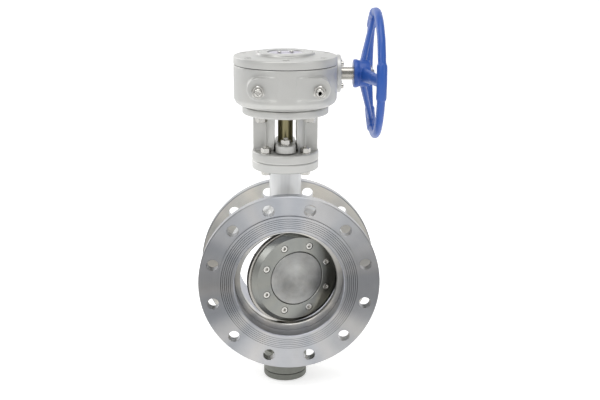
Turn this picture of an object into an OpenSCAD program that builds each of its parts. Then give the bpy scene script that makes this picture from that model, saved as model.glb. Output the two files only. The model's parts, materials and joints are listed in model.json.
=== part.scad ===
// Double-flanged butterfly valve with a triple-offset metal seat and a worm gear operator.
// Origin: centre of the inlet raised face. +Y runs down the pipe, +Z up the stem, +X to the handwheel.

/* [Pipe flanges] */
// Outside diameter of both pipe flanges
flange_d = 340; // [336:1:350]
// Thickness of a pipe flange, raised face included
flange_t = 24; // [22:1:26]
// Diameter of the raised sealing face
raised_face_d = 266; // [256:1:268]
// Height of the raised sealing face
raised_face_h = 3; // [2:0.5:4]
// Bolt circle diameter of the pipe flanges
bolt_circle_d = 295; // [293:1:300]
// Diameter of a pipe flange bolt hole
bolt_hole_d = 22; // [18:1:23]
// Number of pipe flange bolts
bolt_count = 12; // [8:4:12]
// Length from the inlet face to the outlet face
face_to_face = 152; // [150:1:156]

/* [Flow bore and seat] */
// Diameter of the inlet bore
inlet_bore_d = 206; // [205:0.5:208]
// Diameter of the outlet bore
outlet_bore_d = 200; // [199:0.5:202]
// Outside diameter of the barrel between the flanges
barrel_d = 234; // [230:1:240]
// Distance of the seat ring's front face from the inlet face
seat_front_y = 30; // [29:0.5:31]
// Length of the seat ring along the pipe
seat_length = 28; // [27:0.5:29]
// Smallest opening diameter of the seat ring
throat_d = 182; // [180:0.5:184]
// Half-angle of the seat cone
cone_half = 15; // [14:0.5:16]
// Tilt of the seat cone's axis away from the pipe axis
cone_tilt = 10; // [9:0.5:11]
// Gap between seal and seat with the valve shut
seal_gap = 0.1; // [0.05:0.05:0.2]

/* [Disc and stem] */
// Angle by which the disc stands open
disc_open = 20.5; // [0:0.5:60]
// Sideways offset of the stem axis from the pipe axis
stem_x = -6; // [-7:0.5:-5]
// Distance of the stem axis from the inlet face
stem_y = 76; // [75:0.5:77]
// Diameter of the stem
stem_d = 28; // [26:1:30]
// Diameter of the round boss in the middle of the disc
disc_boss_d = 104; // [100:1:108]
// Bolt circle diameter of the retaining ring screws
ring_screw_circle_d = 132.6; // [131:0.2:134]
// Number of retaining ring screws
ring_screw_count = 8; // [6:1:10]

/* [Neck and yoke] */
// Diameter of the neck
neck_d = 60; // [58:1:64]
// Height of the neck flange's top face
neck_top_z = 225; // [220:1:228]
// Diameter of the neck flange and of the yoke's lower flange
neck_flange_d = 125; // [124:1:130]
// Bolt circle diameter of the neck flange
neck_bolt_circle_d = 102; // [100:1:104]
// Diameter of the yoke's upper flange
yoke_top_d = 160; // [156:1:166]
// Bolt circle diameter of the gear operator
gearbox_bolt_circle_d = 125; // [123:1:127]
// Width of the yoke's windows
window_w = 40; // [38:1:42]

/* [Gear operator] */
// Outside radius of the gear housing
housing_r = 95.3; // [94:0.1:97]
// Height of the worm shaft's axis
worm_z = 375; // [374:0.5:376]
// Gear module
gear_module = 3; // [3:1:3]
// Teeth of the full worm wheel that the sector is cut from
wheel_teeth = 38; // [38:1:38]
// Pitch radius of the worm
worm_pitch_r = 13; // [13:0.5:13]
// Height of the stop screws' axes
stop_z = 366; // [365:0.5:367]

/* [Handwheel] */
// Radius of the rim's centre line
rim_r = 116.5; // [100:0.5:125]
// Thickness of the rim
rim_t = 15.5; // [13:0.5:18]
// Place of the rim's plane along the worm shaft
rim_x = 167; // [162:1:172]
// Place of the hub's inner face along the worm shaft
hub_x = 125; // [122:1:128]

/* [Hidden] */
$fn = 96;

// Small working lengths
eps = 0.01;
cut = 1;
run_gap = 0.05;

// Pipe flanges and barrel
flange_r = flange_d / 2;
edge = 1.5;
inlet_r = inlet_bore_d / 2;
outlet_r = outlet_bore_d / 2;
barrel_r = barrel_d / 2;
barrel_flare = 8;
hole_edge = 0.4;
casting_overlap = 30;
relief_wall = 8;
relief_h = 27;
bolt_line_z = bolt_circle_d / 2 * cos(180 / bolt_count);
groove_count = 6;
groove_first_r = 110;
groove_step = 3.6;
groove_half = 0.5;
groove_depth = 0.8;

// Seat cone: it passes through +-seal_r at seal_mid_y, steep on the +X side and shallow on the -X side
seal_r = 94;
seal_mid_y = 46;
cone_slant = 2 * seal_r * cos(cone_half - cone_tilt) / sin(2 * cone_half);
apex_x = seal_r - cone_slant * sin(cone_half + cone_tilt);
apex_y = seal_mid_y - cone_slant * cos(cone_half + cone_tilt);
cone_mid = (seal_mid_y - apex_y) / cos(cone_tilt);
cone_reach = 90;
seat_back_y = seat_front_y + seat_length;
seat_gasket_t = 1.5;

// Disc, measured with the valve shut
ring_face_y = 30.6;
ring_flat_r = 80.5;
ring_r = 89;
ring_bevel_end_y = 38.6;
seal_front_y = 42;
seal_layers = 5;
seal_layer_t = 1.6;
seal_back_y = seal_front_y + seal_layers * seal_layer_t;
seal_inner_r = 74;
seal_gasket_t = 0.8;
plate_front_y = seal_back_y + seal_gasket_t;
plate_r = 86;
plate_side_y = 58;
plate_back_y = 62;
plate_back_r = 80;
hub_r = 24;
hub_half = 78;
boss_gap = 0.8;
pin_r = 4;
pin_z = 48;
ring_screw_r = 4;
ring_head_r = 6.5;
ring_head_y = 38.4;

// Stem and its bearings
stem_r = stem_d / 2;
stem_bottom_z = -181.95;
stem_top_z = 392;
bush_r = stem_r + 5;
bush_near_z = 108;
bush_far_z = 156;
chamber_r = stem_r + 8;
chamber_z = 160;
washer_t = 3;
packing_count = 5;
packing_t = 6;
packing_top_z = chamber_z + washer_t + packing_count * packing_t;

// Bottom trunnion
trunnion_r = 42;
trunnion_z = -198;
bottom_gasket_t = 1.5;
bottom_z = -212;
spigot_top_z = -188;
bottom_screw_circle_r = 30;

// Neck flange, yoke and gland
neck_flange_t = 16;
neck_flange_z = neck_top_z - neck_flange_t;
yoke_base_t = 17.6;
yoke_base_z = neck_top_z + yoke_base_t;
yoke_top_t = 14.1;
yoke_under_z = 312.5;
yoke_top_z = yoke_under_z + yoke_top_t;
tube_r = 37;
tube_inner_r = 29;
web_half = 60;
web_t = 14;
window_foot_w = 46;
window_foot_h = 22;
gland_stud_r = 37;
gland_z = 244.5;
gland_t = 13.8;
gland_half_w = 18.5;
gland_top_z = gland_z + gland_t;

// Gear housing and cover
pad_r = 78;
floor_z = 329;
housing_wall = 9.3;
housing_top_z = 403;
cavity_floor_z = 345;
cavity_r = housing_r - housing_wall;
cover_gasket_t = 0.8;
cover_z = housing_top_z + cover_gasket_t;
cover_edge_z = 418.5;
cover_crown_z = 420.5;
cover_boss_r = 54.5;
cover_boss_z = 425;
indicator_well_r = 33;
indicator_well_z = 421;
journal_r = 20;
cover_screw_r = 83;
cover_screw_angles = [20, 160, 215, 270, 325];
o_ring_r = 1.25;

// Worm gear: sector on the stem, worm behind it
wheel_pitch_r = gear_module * wheel_teeth / 2;
centre_distance = wheel_pitch_r + worm_pitch_r;
worm_y = stem_y + centre_distance;
axial_pitch = PI * gear_module;
lead_angle = atan(axial_pitch / (2 * PI * worm_pitch_r));
tooth_angle = 360 / wheel_teeth;
wheel_tip_r = wheel_pitch_r + gear_module;
wheel_root_r = wheel_pitch_r - 1.25 * gear_module;
wheel_base_r = wheel_pitch_r * cos(20);
sector_half_face = 10;
sector_first_tooth = -10;
sector_last_tooth = 3;
sector_start = 90 + (sector_first_tooth + 0.5) * tooth_angle;
sector_end = 90 + (sector_last_tooth + 0.5) * tooth_angle;
worm_half = 32;
worm_tip_r = worm_pitch_r + gear_module;
worm_root_r = worm_pitch_r - 1.25 * gear_module;
backlash = 0.6;
thread_steps = 30;

// Worm shaft, bearings and their cover
shaft_r = 12;
seat_r = 12.5;
bearing_r = 23.5;
bearing_w = 12;
ball_r = 3.6;
ball_circle_r = 18;
ball_count = 10;
left_bearing_x = -84;
right_bearing_x = 79;
tunnel_r = 28;
tunnel_left_x = -97;
tunnel_right_x = 92;
bearing_cover_r = 36;
bearing_cover_x = 100;

// Stop screws, seen from the front: left one limits opening, right one limits closing
stop_xs = [-56, 52.4];
stop_r = 7;
stop_boss_y = -18;
stop_nut_t = 8;
stop_out_y = -33;
stop_hole_end_y = 28;
stop_y_end = 60;
travel = 90;
open_edge = sector_end + travel - disc_open - 180;
shut_edge = sector_start - disc_open;
stop_gap = 0.1;
seam_turn = 200;
stop_tip_ys = [stem_y - (stem_x - stop_xs[0] + stop_r) * tan(open_edge) - stop_gap,
    stem_y + wheel_tip_r * sin(shut_edge) - stop_gap];

// Handwheel
wheel_hub_r = 25;
wheel_collar_r = 27;
wheel_collar_w = 8;
hub_end_x = 157;
spoke_angles = [-90, 30, 150];
joint_span = 32;

// Nuts and bolts: half of the size across corners for a hexagon of the given size across flats
function corner_r(flats) = flats / 2 / cos(30);

module at_stem(z = 0) translate([stem_x, stem_y, z]) children();
module along_y(y = 0) translate([0, y, 0]) rotate([-90, 0, 0]) children();
module along_x(x = 0) translate([x, worm_y, worm_z]) rotate([0, 90, 0]) children();
module ring_of(count, radius, first = 0) {
    for (i = [0 : count - 1]) rotate([0, 0, first + i * 360 / count]) translate([radius, 0, 0]) children();
}
module disc_turned() {
    translate([stem_x, stem_y, 0]) rotate([0, 0, disc_open]) translate([-stem_x, -stem_y, 0]) children();
}
module hexagon(flats, height) cylinder(r = corner_r(flats), h = height, $fn = 6);
module tube(outer, inner, height) {
    difference() {
        cylinder(r = outer, h = height);
        translate([0, 0, -cut]) cylinder(r = inner, h = height + 2 * cut);
    }
}
module cone_ended(radius, height, bevel) {
    cylinder(r1 = radius - bevel, r2 = radius, h = bevel);
    translate([0, 0, bevel]) cylinder(r = radius, h = height - 2 * bevel);
    translate([0, 0, height - bevel]) cylinder(r1 = radius, r2 = radius - bevel, h = bevel);
}
module nut(flats, height, hole_r) {
    difference() {
        intersection() {
            hexagon(flats, height);
            cone_ended(corner_r(flats) - 0.1, height, 0.9);
        }
        translate([0, 0, -cut]) cylinder(r = hole_r, h = height + 2 * cut);
    }
}

// Solid inside of the seat cone, drawn in by the given gap
module seat_cone(gap = 0) {
    slope = tan(cone_half);
    translate([apex_x, apex_y, 0]) rotate([0, 0, -cone_tilt]) rotate([-90, 0, 0])
        translate([0, 0, cone_mid - cone_reach + gap / sin(cone_half)])
            cylinder(r1 = (cone_mid - cone_reach) * slope, r2 = (cone_mid + cone_reach) * slope,
                h = 2 * cone_reach);
}

// ---- Body and flow path ----

groove_radii = [for (i = [0 : groove_count - 1]) groove_first_r + i * groove_step];
front_face = [for (r = groove_radii) each [[r - groove_half, 0], [r, groove_depth], [r + groove_half, 0]]];
back_face = [for (i = [len(front_face) - 1 : -1 : 0]) [front_face[i][0], face_to_face - front_face[i][1]]];
flange_side = [[raised_face_d / 2, 0], [raised_face_d / 2, raised_face_h],
    [flange_r - edge, raised_face_h], [flange_r, raised_face_h + edge], [flange_r, flange_t - edge],
    [flange_r - edge, flange_t], [barrel_r + barrel_flare, flange_t],
    [barrel_r + 2, flange_t + 3], [barrel_r, flange_t + barrel_flare]];
flange_side_back = [for (i = [len(flange_side) - 1 : -1 : 0])
    [flange_side[i][0], face_to_face - flange_side[i][1]]];
body_section = concat([[inlet_r, edge], [inlet_r + edge, 0]], front_face, flange_side, flange_side_back,
    back_face, [[outlet_r + edge, face_to_face], [outlet_r, face_to_face - edge],
    [outlet_r, seat_back_y + seat_gasket_t], [inlet_r, seat_back_y + seat_gasket_t]]);

module bolt_hole() {
    translate([0, 0, -cut]) cylinder(d = bolt_hole_d, h = flange_t + 2 * cut);
    translate([0, 0, raised_face_h - eps])
        cylinder(d1 = bolt_hole_d + 2 * hole_edge, d2 = bolt_hole_d, h = hole_edge);
}

// Flat on the trunnion that leaves room for the flange bolt beside it
module bolt_relief() {
    depth = trunnion_r - bush_r - relief_wall;
    translate([-trunnion_r - cut, -trunnion_r - cut, -bolt_line_z - relief_h / 2])
        cube([depth + cut, 2 * (trunnion_r + cut), relief_h]);
}

module stem_path() {
    at_stem() {
        cylinder(r = stem_r + 0.5, h = chamber_z + cut);
        translate([0, 0, bush_near_z]) cylinder(r = bush_r, h = chamber_z - bush_near_z + eps);
        translate([0, 0, chamber_z]) cylinder(r = chamber_r, h = neck_top_z - chamber_z + cut);
        translate([0, 0, -bush_near_z]) cylinder(r = stem_r + 0.5, h = bush_near_z);
        translate([0, 0, trunnion_z - cut]) cylinder(r = bush_r, h = -bush_near_z - trunnion_z + cut);
    }
}

module valve_body() color("silver") difference() {
    union() {
        rotate([-90, 0, 0]) rotate_extrude() polygon(body_section);
        at_stem(trunnion_z) cylinder(r = trunnion_r, h = casting_overlap - barrel_r - trunnion_z);
        at_stem(barrel_r - casting_overlap)
            cylinder(d = neck_d, h = neck_flange_z - barrel_r + casting_overlap + eps);
        at_stem(barrel_r - 12) cylinder(d1 = neck_d + 24, d2 = neck_d, h = 22);
        at_stem(neck_flange_z) cone_ended(neck_flange_d / 2, neck_flange_t, edge);
    }
    along_y(-cut) cylinder(r = inlet_r, h = seat_back_y + seat_gasket_t + cut);
    along_y(seat_back_y) cylinder(r = outlet_r, h = face_to_face - seat_back_y + cut);
    along_y() ring_of(bolt_count, bolt_circle_d / 2, 180 / bolt_count) bolt_hole();
    along_y(face_to_face) mirror([0, 0, 1])
        ring_of(bolt_count, bolt_circle_d / 2, 180 / bolt_count) bolt_hole();
    stem_path();
    at_stem() bolt_relief();
    at_stem(neck_flange_z - cut) ring_of(4, neck_bolt_circle_d / 2, 45)
        cylinder(r = 5.5, h = neck_flange_t + 2 * cut);
    at_stem(neck_top_z - 13) ring_of(2, gland_stud_r, 90) cylinder(r = 5, h = 14);
    at_stem(trunnion_z - cut) ring_of(4, bottom_screw_circle_r, 45) cylinder(r = 4, h = 18 + cut);
}

module seat_ring() color("gainsboro") difference() {
    along_y(seat_front_y) cone_ended(inlet_r, seat_length, 0.5);
    along_y(seat_front_y - cut) cylinder(d = throat_d, h = seat_length + 2 * cut);
    along_y(seat_front_y - eps) cylinder(d1 = throat_d + 3, d2 = throat_d, h = edge);
    intersection() {
        seat_cone();
        along_y(seat_front_y - cut) cylinder(r = inlet_r + cut, h = seat_length + 2 * cut);
    }
}

module seat_gasket() color("dimgray") along_y(seat_back_y) tube(inlet_r, outlet_r, seat_gasket_t);

// ---- Stem bearings, packing and gland ----

module upper_bush() color("goldenrod") at_stem(bush_near_z)
    tube(bush_r, stem_r + run_gap, bush_far_z - bush_near_z);
module lower_bush() color("goldenrod") at_stem(-bush_far_z)
    tube(bush_r, stem_r + run_gap, bush_far_z - bush_near_z);
module packing_washer() color("silver") at_stem(chamber_z) tube(chamber_r, stem_r + 0.3, washer_t);

module packing_rings() color("dimgray") at_stem(chamber_z + washer_t) {
    for (i = [0 : packing_count - 1]) translate([0, 0, i * packing_t])
        tube(chamber_r, stem_r + run_gap, packing_t);
}

module gland_sleeve() color("silver") at_stem(packing_top_z)
    tube(chamber_r - 0.2, stem_r + 0.3, gland_z - packing_top_z);

module gland_flange() color("silver") at_stem(gland_z) difference() {
    union() {
        for (side = [-1, 1]) translate([0, side * (gland_stud_r - 2), 0])
            cylinder(r = gland_half_w, h = gland_t);
        translate([-gland_half_w, -gland_stud_r + 2, 0])
            cube([2 * gland_half_w, 2 * gland_stud_r - 4, gland_t]);
        cylinder(r = chamber_r + 1, h = gland_t);
    }
    translate([0, 0, -cut]) cylinder(r = stem_r + 0.8, h = gland_t + 2 * cut);
    translate([0, 0, -cut]) ring_of(2, gland_stud_r, 90) cylinder(r = 5.5, h = gland_t + 2 * cut);
}

module gland_studs() color("silver") at_stem(neck_top_z - 13) ring_of(2, gland_stud_r, 90)
    cone_ended(5, 61, 1);
module gland_washers() color("silver") at_stem(gland_top_z) ring_of(2, gland_stud_r, 90) tube(9, 5.25, 1.6);
module gland_nuts() color("silver") at_stem(gland_top_z + 1.6) ring_of(2, gland_stud_r, 90) nut(16, 9, 5);

// ---- Bottom trunnion ----

module thrust_plate() color("goldenrod") at_stem(spigot_top_z) cone_ended(bush_r - 0.2, 6, 0.5);

module bottom_gasket() color("dimgray") at_stem(trunnion_z - bottom_gasket_t) difference() {
    tube(trunnion_r - 2, bush_r + 0.5, bottom_gasket_t);
    translate([0, 0, -cut]) ring_of(4, bottom_screw_circle_r, 45)
        cylinder(r = 4.5, h = bottom_gasket_t + 2 * cut);
}

module bottom_cover() color("silver") at_stem(bottom_z) difference() {
    union() {
        cone_ended(trunnion_r, trunnion_z - bottom_gasket_t - bottom_z, edge);
        cylinder(r = bush_r - 0.1, h = spigot_top_z - bottom_z);
    }
    translate([0, 0, -cut]) ring_of(4, bottom_screw_circle_r, 45) {
        cylinder(r = 4.5, h = 20);
        cylinder(r = 7, h = 8 + cut);
    }
}

module bottom_cover_screws() color("silver") at_stem(bottom_z + 0.5)
    ring_of(4, bottom_screw_circle_r, 45) difference() {
    union() {
        cylinder(r = 6.5, h = 7.5);
        cylinder(r = 4, h = 27);
    }
    translate([0, 0, -cut]) hexagon(6, 4 + cut);
}

// ---- Yoke and its fasteners ----

module yoke_window() {
    half = window_w / 2;
    foot = window_foot_w / 2;
    top = yoke_under_z - yoke_base_z;
    translate([0, 50, yoke_base_z]) rotate([90, 0, 0]) linear_extrude(100)
        polygon([[-foot, 0], [foot, 0], [half, window_foot_h], [half, top - 4], [half - 4, top],
            [4 - half, top], [-half, top - 4], [-half, window_foot_h]]);
}

module yoke() color("silver") at_stem() difference() {
    union() {
        translate([0, 0, neck_top_z]) cone_ended(neck_flange_d / 2, yoke_base_t, edge);
        translate([0, 0, yoke_base_z - 2]) cylinder(r = tube_r, h = yoke_under_z - yoke_base_z + 4);
        translate([-web_half, -web_t / 2, yoke_base_z - 2])
            cube([2 * web_half, web_t, yoke_under_z - yoke_base_z + 4]);
        translate([0, 0, yoke_under_z]) cone_ended(yoke_top_d / 2, yoke_top_t, edge);
    }
    translate([0, 0, neck_top_z - cut]) cylinder(r = chamber_r + 1.5, h = yoke_base_t + 2 * cut);
    translate([0, 0, yoke_base_z]) cylinder(r = tube_inner_r, h = yoke_under_z - yoke_base_z);
    translate([0, 0, yoke_under_z - cut]) cylinder(r = stem_r + 6, h = yoke_top_t + 2 * cut);
    yoke_window();
    translate([0, 0, neck_top_z - cut]) ring_of(4, neck_bolt_circle_d / 2, 45)
        cylinder(r = 5.5, h = yoke_base_t + 2 * cut);
    translate([0, 0, neck_top_z - cut]) ring_of(2, gland_stud_r, 90)
        cylinder(r = 5.5, h = yoke_base_t + 2 * cut);
    translate([0, 0, yoke_under_z - cut]) ring_of(4, gearbox_bolt_circle_d / 2, 45)
        cylinder(r = 6.5, h = yoke_top_t + 2 * cut);
}

module yoke_bolts() color("silver") at_stem(neck_flange_z - 6.4) ring_of(4, neck_bolt_circle_d / 2, 45) {
    hexagon(16, 6.4);
    cone_ended(5, 256.5 - neck_flange_z + 6.4, 1);
}
module yoke_washers() color("silver") at_stem(yoke_base_z) ring_of(4, neck_bolt_circle_d / 2, 45)
    tube(9.5, 5.25, 1.6);
module yoke_nuts() color("silver") at_stem(yoke_base_z + 1.6) ring_of(4, neck_bolt_circle_d / 2, 45)
    nut(17, 9.4, 5);

module gearbox_washers() color("silver") at_stem(yoke_under_z - 2)
    ring_of(4, gearbox_bolt_circle_d / 2, 45) tube(11.5, 6.25, 2);
module gearbox_bolts() color("silver") at_stem(yoke_under_z - 9.5)
    ring_of(4, gearbox_bolt_circle_d / 2, 45) {
    hexagon(19, 7.5);
    cone_ended(6, 38, 1);
}

// ---- Gear housing and cover ----

housing_section = [[0, yoke_top_z], [pad_r, yoke_top_z], [pad_r, floor_z], [housing_r - 10, floor_z],
    [housing_r - 3, floor_z + 5], [housing_r, floor_z + 12], [housing_r, housing_top_z],
        [0, housing_top_z]];

module stop_boss_outline(x) {
    inward = x < stem_x ? 1 : -1;
    translate([x, stop_z + 4]) circle(r = 20);
    translate([x + (inward > 0 ? 0 : -40), stop_z - 16]) square([40, 40]);
}

module gear_housing() color("silver") difference() {
    union() {
        at_stem() rotate_extrude() polygon(housing_section);
        along_x(tunnel_left_x) cone_ended(tunnel_r, tunnel_right_x - tunnel_left_x, edge);
        along_x(tunnel_right_x - 8) cylinder(r = bearing_cover_r, h = 8);
        for (x = stop_xs) translate([0, 30, 0]) rotate([90, 0, 0]) linear_extrude(30 - stop_boss_y)
            stop_boss_outline(x);
    }
    difference() {
        at_stem(cavity_floor_z) cylinder(r = cavity_r, h = housing_top_z - cavity_floor_z + cut);
        at_stem(cavity_floor_z - cut) for (a = cover_screw_angles) rotate([0, 0, a])
            translate([cover_screw_r, 0, 0]) cylinder(r = 8, h = 100);
        for (x = stop_xs) translate([x, stop_hole_end_y, stop_z]) rotate([90, 0, 0])
            cylinder(r = 13, h = 60);
    }
    along_x(left_bearing_x) cylinder(r = bearing_r, h = tunnel_right_x - left_bearing_x + cut);
    at_stem(yoke_top_z - cut) cylinder(r = hub_r + run_gap, h = 40);
    at_stem(334) cylinder(r = hub_r + run_gap + 2 * o_ring_r, h = 3.6);
    at_stem(yoke_top_z - cut) ring_of(4, gearbox_bolt_circle_d / 2, 45) cylinder(r = 6, h = 16);
    for (x = stop_xs) translate([x, stop_y_end, stop_z]) rotate([90, 0, 0]) cylinder(r = stop_r, h = 100);
    at_stem(housing_top_z - 16) for (a = cover_screw_angles) rotate([0, 0, a])
        translate([cover_screw_r, 0, 0]) cylinder(r = 3, h = 20);
    along_x(tunnel_right_x - 12) ring_of(4, 29.5, 45) cylinder(r = 3, h = 14);
}

module cover_gasket() color("dimgray") at_stem(housing_top_z) difference() {
    tube(housing_r - 0.8, cavity_r - 12, cover_gasket_t);
    for (a = cover_screw_angles) rotate([0, 0, a])
        translate([cover_screw_r, 0, -cut]) cylinder(r = 3.5, h = cover_gasket_t + 2 * cut);
}

cover_section =
    [[0, cover_z], [housing_r, cover_z], [housing_r, cover_edge_z - 1.5], [housing_r - 1.5, cover_edge_z],
    [cover_boss_r + 4, cover_crown_z - 0.4], [cover_boss_r + 1, cover_crown_z + 0.6],
        [cover_boss_r - 1, cover_boss_z - 1],
    [cover_boss_r - 3, cover_boss_z], [51, cover_boss_z], [50.2, cover_boss_z - 1.6], [49.4, cover_boss_z],
    [indicator_well_r + 1, cover_boss_z], [indicator_well_r, cover_boss_z - 1],
        [indicator_well_r, indicator_well_z],
    [0, indicator_well_z]];

module gear_cover() color("silver") at_stem() difference() {
    rotate_extrude() polygon(cover_section);
    translate([0, 0, cover_z - cut]) cylinder(r = journal_r + run_gap, h = 30);
    translate([0, 0, 410]) cylinder(r = journal_r + run_gap + 2 * o_ring_r, h = 3.6);
    translate([0, 0, cover_z - cut]) tube(cavity_r - 12, journal_r + 14, 8 + cut);
    for (a = cover_screw_angles) rotate([0, 0, a]) translate([cover_screw_r, 0, 0]) {
        translate([0, 0, cover_z - cut]) cylinder(r = 3.4, h = 30);
        translate([0, 0, cover_edge_z - 3.6]) cylinder(r1 = 3.4, r2 = 6.4, h = 3);
        translate([0, 0, cover_edge_z - 0.6]) cylinder(r = 6.4, h = 4);
    }
}

module gear_cover_screws() color("silver") at_stem() for (a = cover_screw_angles) rotate([0, 0, a])
    translate([cover_screw_r, 0, 0]) difference() {
        union() {
            translate([0, 0, housing_top_z - 14]) cylinder(r = 3, h = 29);
            translate([0, 0, cover_edge_z - 3.5]) cylinder(r1 = 3, r2 = 6, h = 3);
            translate([0, 0, cover_edge_z - 0.5]) cylinder(r = 6, h = 0.4);
        }
        translate([0, 0, cover_edge_z - 3]) hexagon(4, 4);
    }

module o_ring(inner_r) rotate_extrude() translate([inner_r + o_ring_r, 0]) circle(r = o_ring_r);
module hub_o_ring() color("dimgray") at_stem(335.8) o_ring(hub_r + run_gap);
module indicator_o_ring() color("dimgray") at_stem(411.8) o_ring(journal_r + run_gap);

// ---- Worm shaft bearings, cover and stops ----

module bearing_race(outer, inner) difference() {
    tube(outer, inner, bearing_w);
    translate([0, 0, bearing_w / 2]) rotate_extrude() translate([ball_circle_r, 0])
        circle(r = ball_r + run_gap);
}
module both_bearings() for (x = [left_bearing_x, right_bearing_x]) along_x(x) children();
module bearing_outer_rings() color("lightgray") both_bearings() bearing_race(bearing_r, 20.6);
module bearing_inner_rings() color("lightgray") both_bearings() bearing_race(15.4, seat_r);
module bearing_balls() color("white") both_bearings() translate([0, 0, bearing_w / 2])
    ring_of(ball_count, ball_circle_r) sphere(r = ball_r);

module bearing_cover() color("silver") along_x(tunnel_right_x) difference() {
    union() {
        cone_ended(bearing_cover_r, bearing_cover_x - tunnel_right_x, 1);
        translate([0, 0, right_bearing_x + bearing_w - tunnel_right_x])
            cylinder(r = bearing_r - 0.1, h = tunnel_right_x - right_bearing_x - bearing_w + cut);
    }
    translate([0, 0, -3]) cylinder(r = shaft_r + 1, h = 20);
    translate([0, 0, 1.5]) cylinder(r = 17.5, h = 10);
    translate([0, 0, -cut]) ring_of(4, 29.5, 45) cylinder(r = 3.3, h = 12);
}
module bearing_cover_screws() color("silver") along_x(tunnel_right_x - 10) ring_of(4, 29.5, 45) {
    cylinder(r = 3, h = 18);
    translate([0, 0, 18]) difference() {
        cone_ended(5, 5, 0.5);
        translate([0, 0, 2]) hexagon(5, 4);
    }
}
module shaft_seal() color("dimgray") along_x(tunnel_right_x + 1.5) tube(17.5, shaft_r + run_gap, 6.2);

module stop_screws() color("silver") for (i = [0, 1]) translate([stop_xs[i], stop_out_y, stop_z])
    rotate([-90, 0, 0])
    difference() {
        cone_ended(stop_r, stop_tip_ys[i] - stop_out_y, 0.5);
        translate([0, 0, -cut]) hexagon(6, 6 + cut);
    }
module stop_lock_nuts() color("silver") for (x = stop_xs) translate([x, stop_boss_y - stop_nut_t, stop_z])
    rotate([-90, 0, 0]) rotate([0, 0, 30]) nut(21, stop_nut_t, stop_r);

// ---- Disc, stem and worm sector: these turn together ----

module stem() color("darkkhaki") disc_turned() difference() {
    at_stem(stem_bottom_z) cone_ended(stem_r, stem_top_z - stem_bottom_z, 1);
    for (z = [-pin_z, pin_z]) translate([stem_x, stem_y - 30, z]) rotate([-90, 0, 0])
        cylinder(r = pin_r, h = 60);
    at_stem(348) translate([stem_r - 4, -4, 0]) cube([10, 8, 60]);
}

module disc_rib(z) for (side = [-1, 1]) translate([0, 0, z - 4]) linear_extrude(8)
    polygon([[side * 76, plate_back_y - 3], [side * 70, plate_back_y + 3], [side * 22, stem_y + 14],
        [side * 10, plate_back_y - 3]]);

module disc_plate() color("gray") disc_turned() difference() {
    union() {
        along_y(plate_front_y) cylinder(r = plate_r, h = plate_side_y - plate_front_y);
        along_y(plate_side_y - eps)
            cylinder(r1 = plate_r, r2 = plate_back_r, h = plate_back_y - plate_side_y);
        along_y(seal_front_y) cylinder(r = seal_inner_r - run_gap, h = plate_back_y - seal_front_y - cut);
        along_y(ring_face_y) cone_ended(disc_boss_d / 2, plate_back_y - ring_face_y - cut, 1);
        at_stem(-hub_half) cone_ended(hub_r, 2 * hub_half, 2);
        for (z = [-45, 0, 45]) disc_rib(z);
    }
    at_stem(-hub_half - cut) cylinder(r = stem_r, h = 2 * hub_half + 2 * cut);
    for (z = [-pin_z, pin_z]) translate([stem_x, stem_y - 18, z]) rotate([-90, 0, 0])
        cylinder(r = pin_r, h = 50);
    along_y(ring_head_y) ring_of(ring_screw_count, ring_screw_circle_d / 2, 180 / ring_screw_count)
        cylinder(r = ring_screw_r, h = 20.5);
}

module disc_pins() color("lightgray") disc_turned() for (z = [-pin_z, pin_z])
    translate([stem_x, stem_y - 17.5, z]) rotate([-90, 0, 0]) cone_ended(pin_r, 41, 0.5);

module seal_layer(i) intersection() {
    seat_cone(seal_gap);
    along_y(seal_front_y + i * seal_layer_t) tube(seal_r + 10, seal_inner_r, seal_layer_t);
}
module seal_steel_rings() color("gray") disc_turned() for (i = [0 : 2 : seal_layers - 1]) seal_layer(i);
module seal_graphite_rings() color("black") disc_turned() for (i = [1 : 2 : seal_layers - 1]) seal_layer(i);
module seal_gasket() color("black") disc_turned() along_y(seal_back_y)
    tube(plate_r - 1, seal_inner_r, seal_gasket_t);

ring_section =
    [[disc_boss_d / 2 + boss_gap, ring_face_y + 0.8], [disc_boss_d / 2 + boss_gap + 0.8, ring_face_y],
    [ring_flat_r, ring_face_y], [ring_r, ring_bevel_end_y], [ring_r, seal_front_y],
    [disc_boss_d / 2 + boss_gap, seal_front_y]];

module retaining_ring() color("lightgray") disc_turned() difference() {
    rotate([-90, 0, 0]) rotate_extrude() polygon(ring_section);
    along_y(ring_face_y - cut) ring_of(ring_screw_count, ring_screw_circle_d / 2, 180 / ring_screw_count) {
        cylinder(r = ring_screw_r + 0.5, h = 20);
        cylinder(r = ring_head_r + 0.7, h = ring_head_y - ring_face_y + cut);
    }
}

module retaining_screws() color("lightgray") disc_turned()
    along_y(ring_face_y + 0.3)
        ring_of(ring_screw_count, ring_screw_circle_d / 2, 180 / ring_screw_count) difference() {
        union() {
            cone_ended(ring_head_r, ring_head_y - ring_face_y - 0.3, 0.6);
            cylinder(r = ring_screw_r, h = 26);
        }
        translate([0, 0, -cut]) hexagon(6, 4 + cut);
    }

module stem_key() color("lightgray") disc_turned() at_stem(348.5) translate([stem_r - 4, -4, 0])
    cube([7, 8, 36]);

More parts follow.
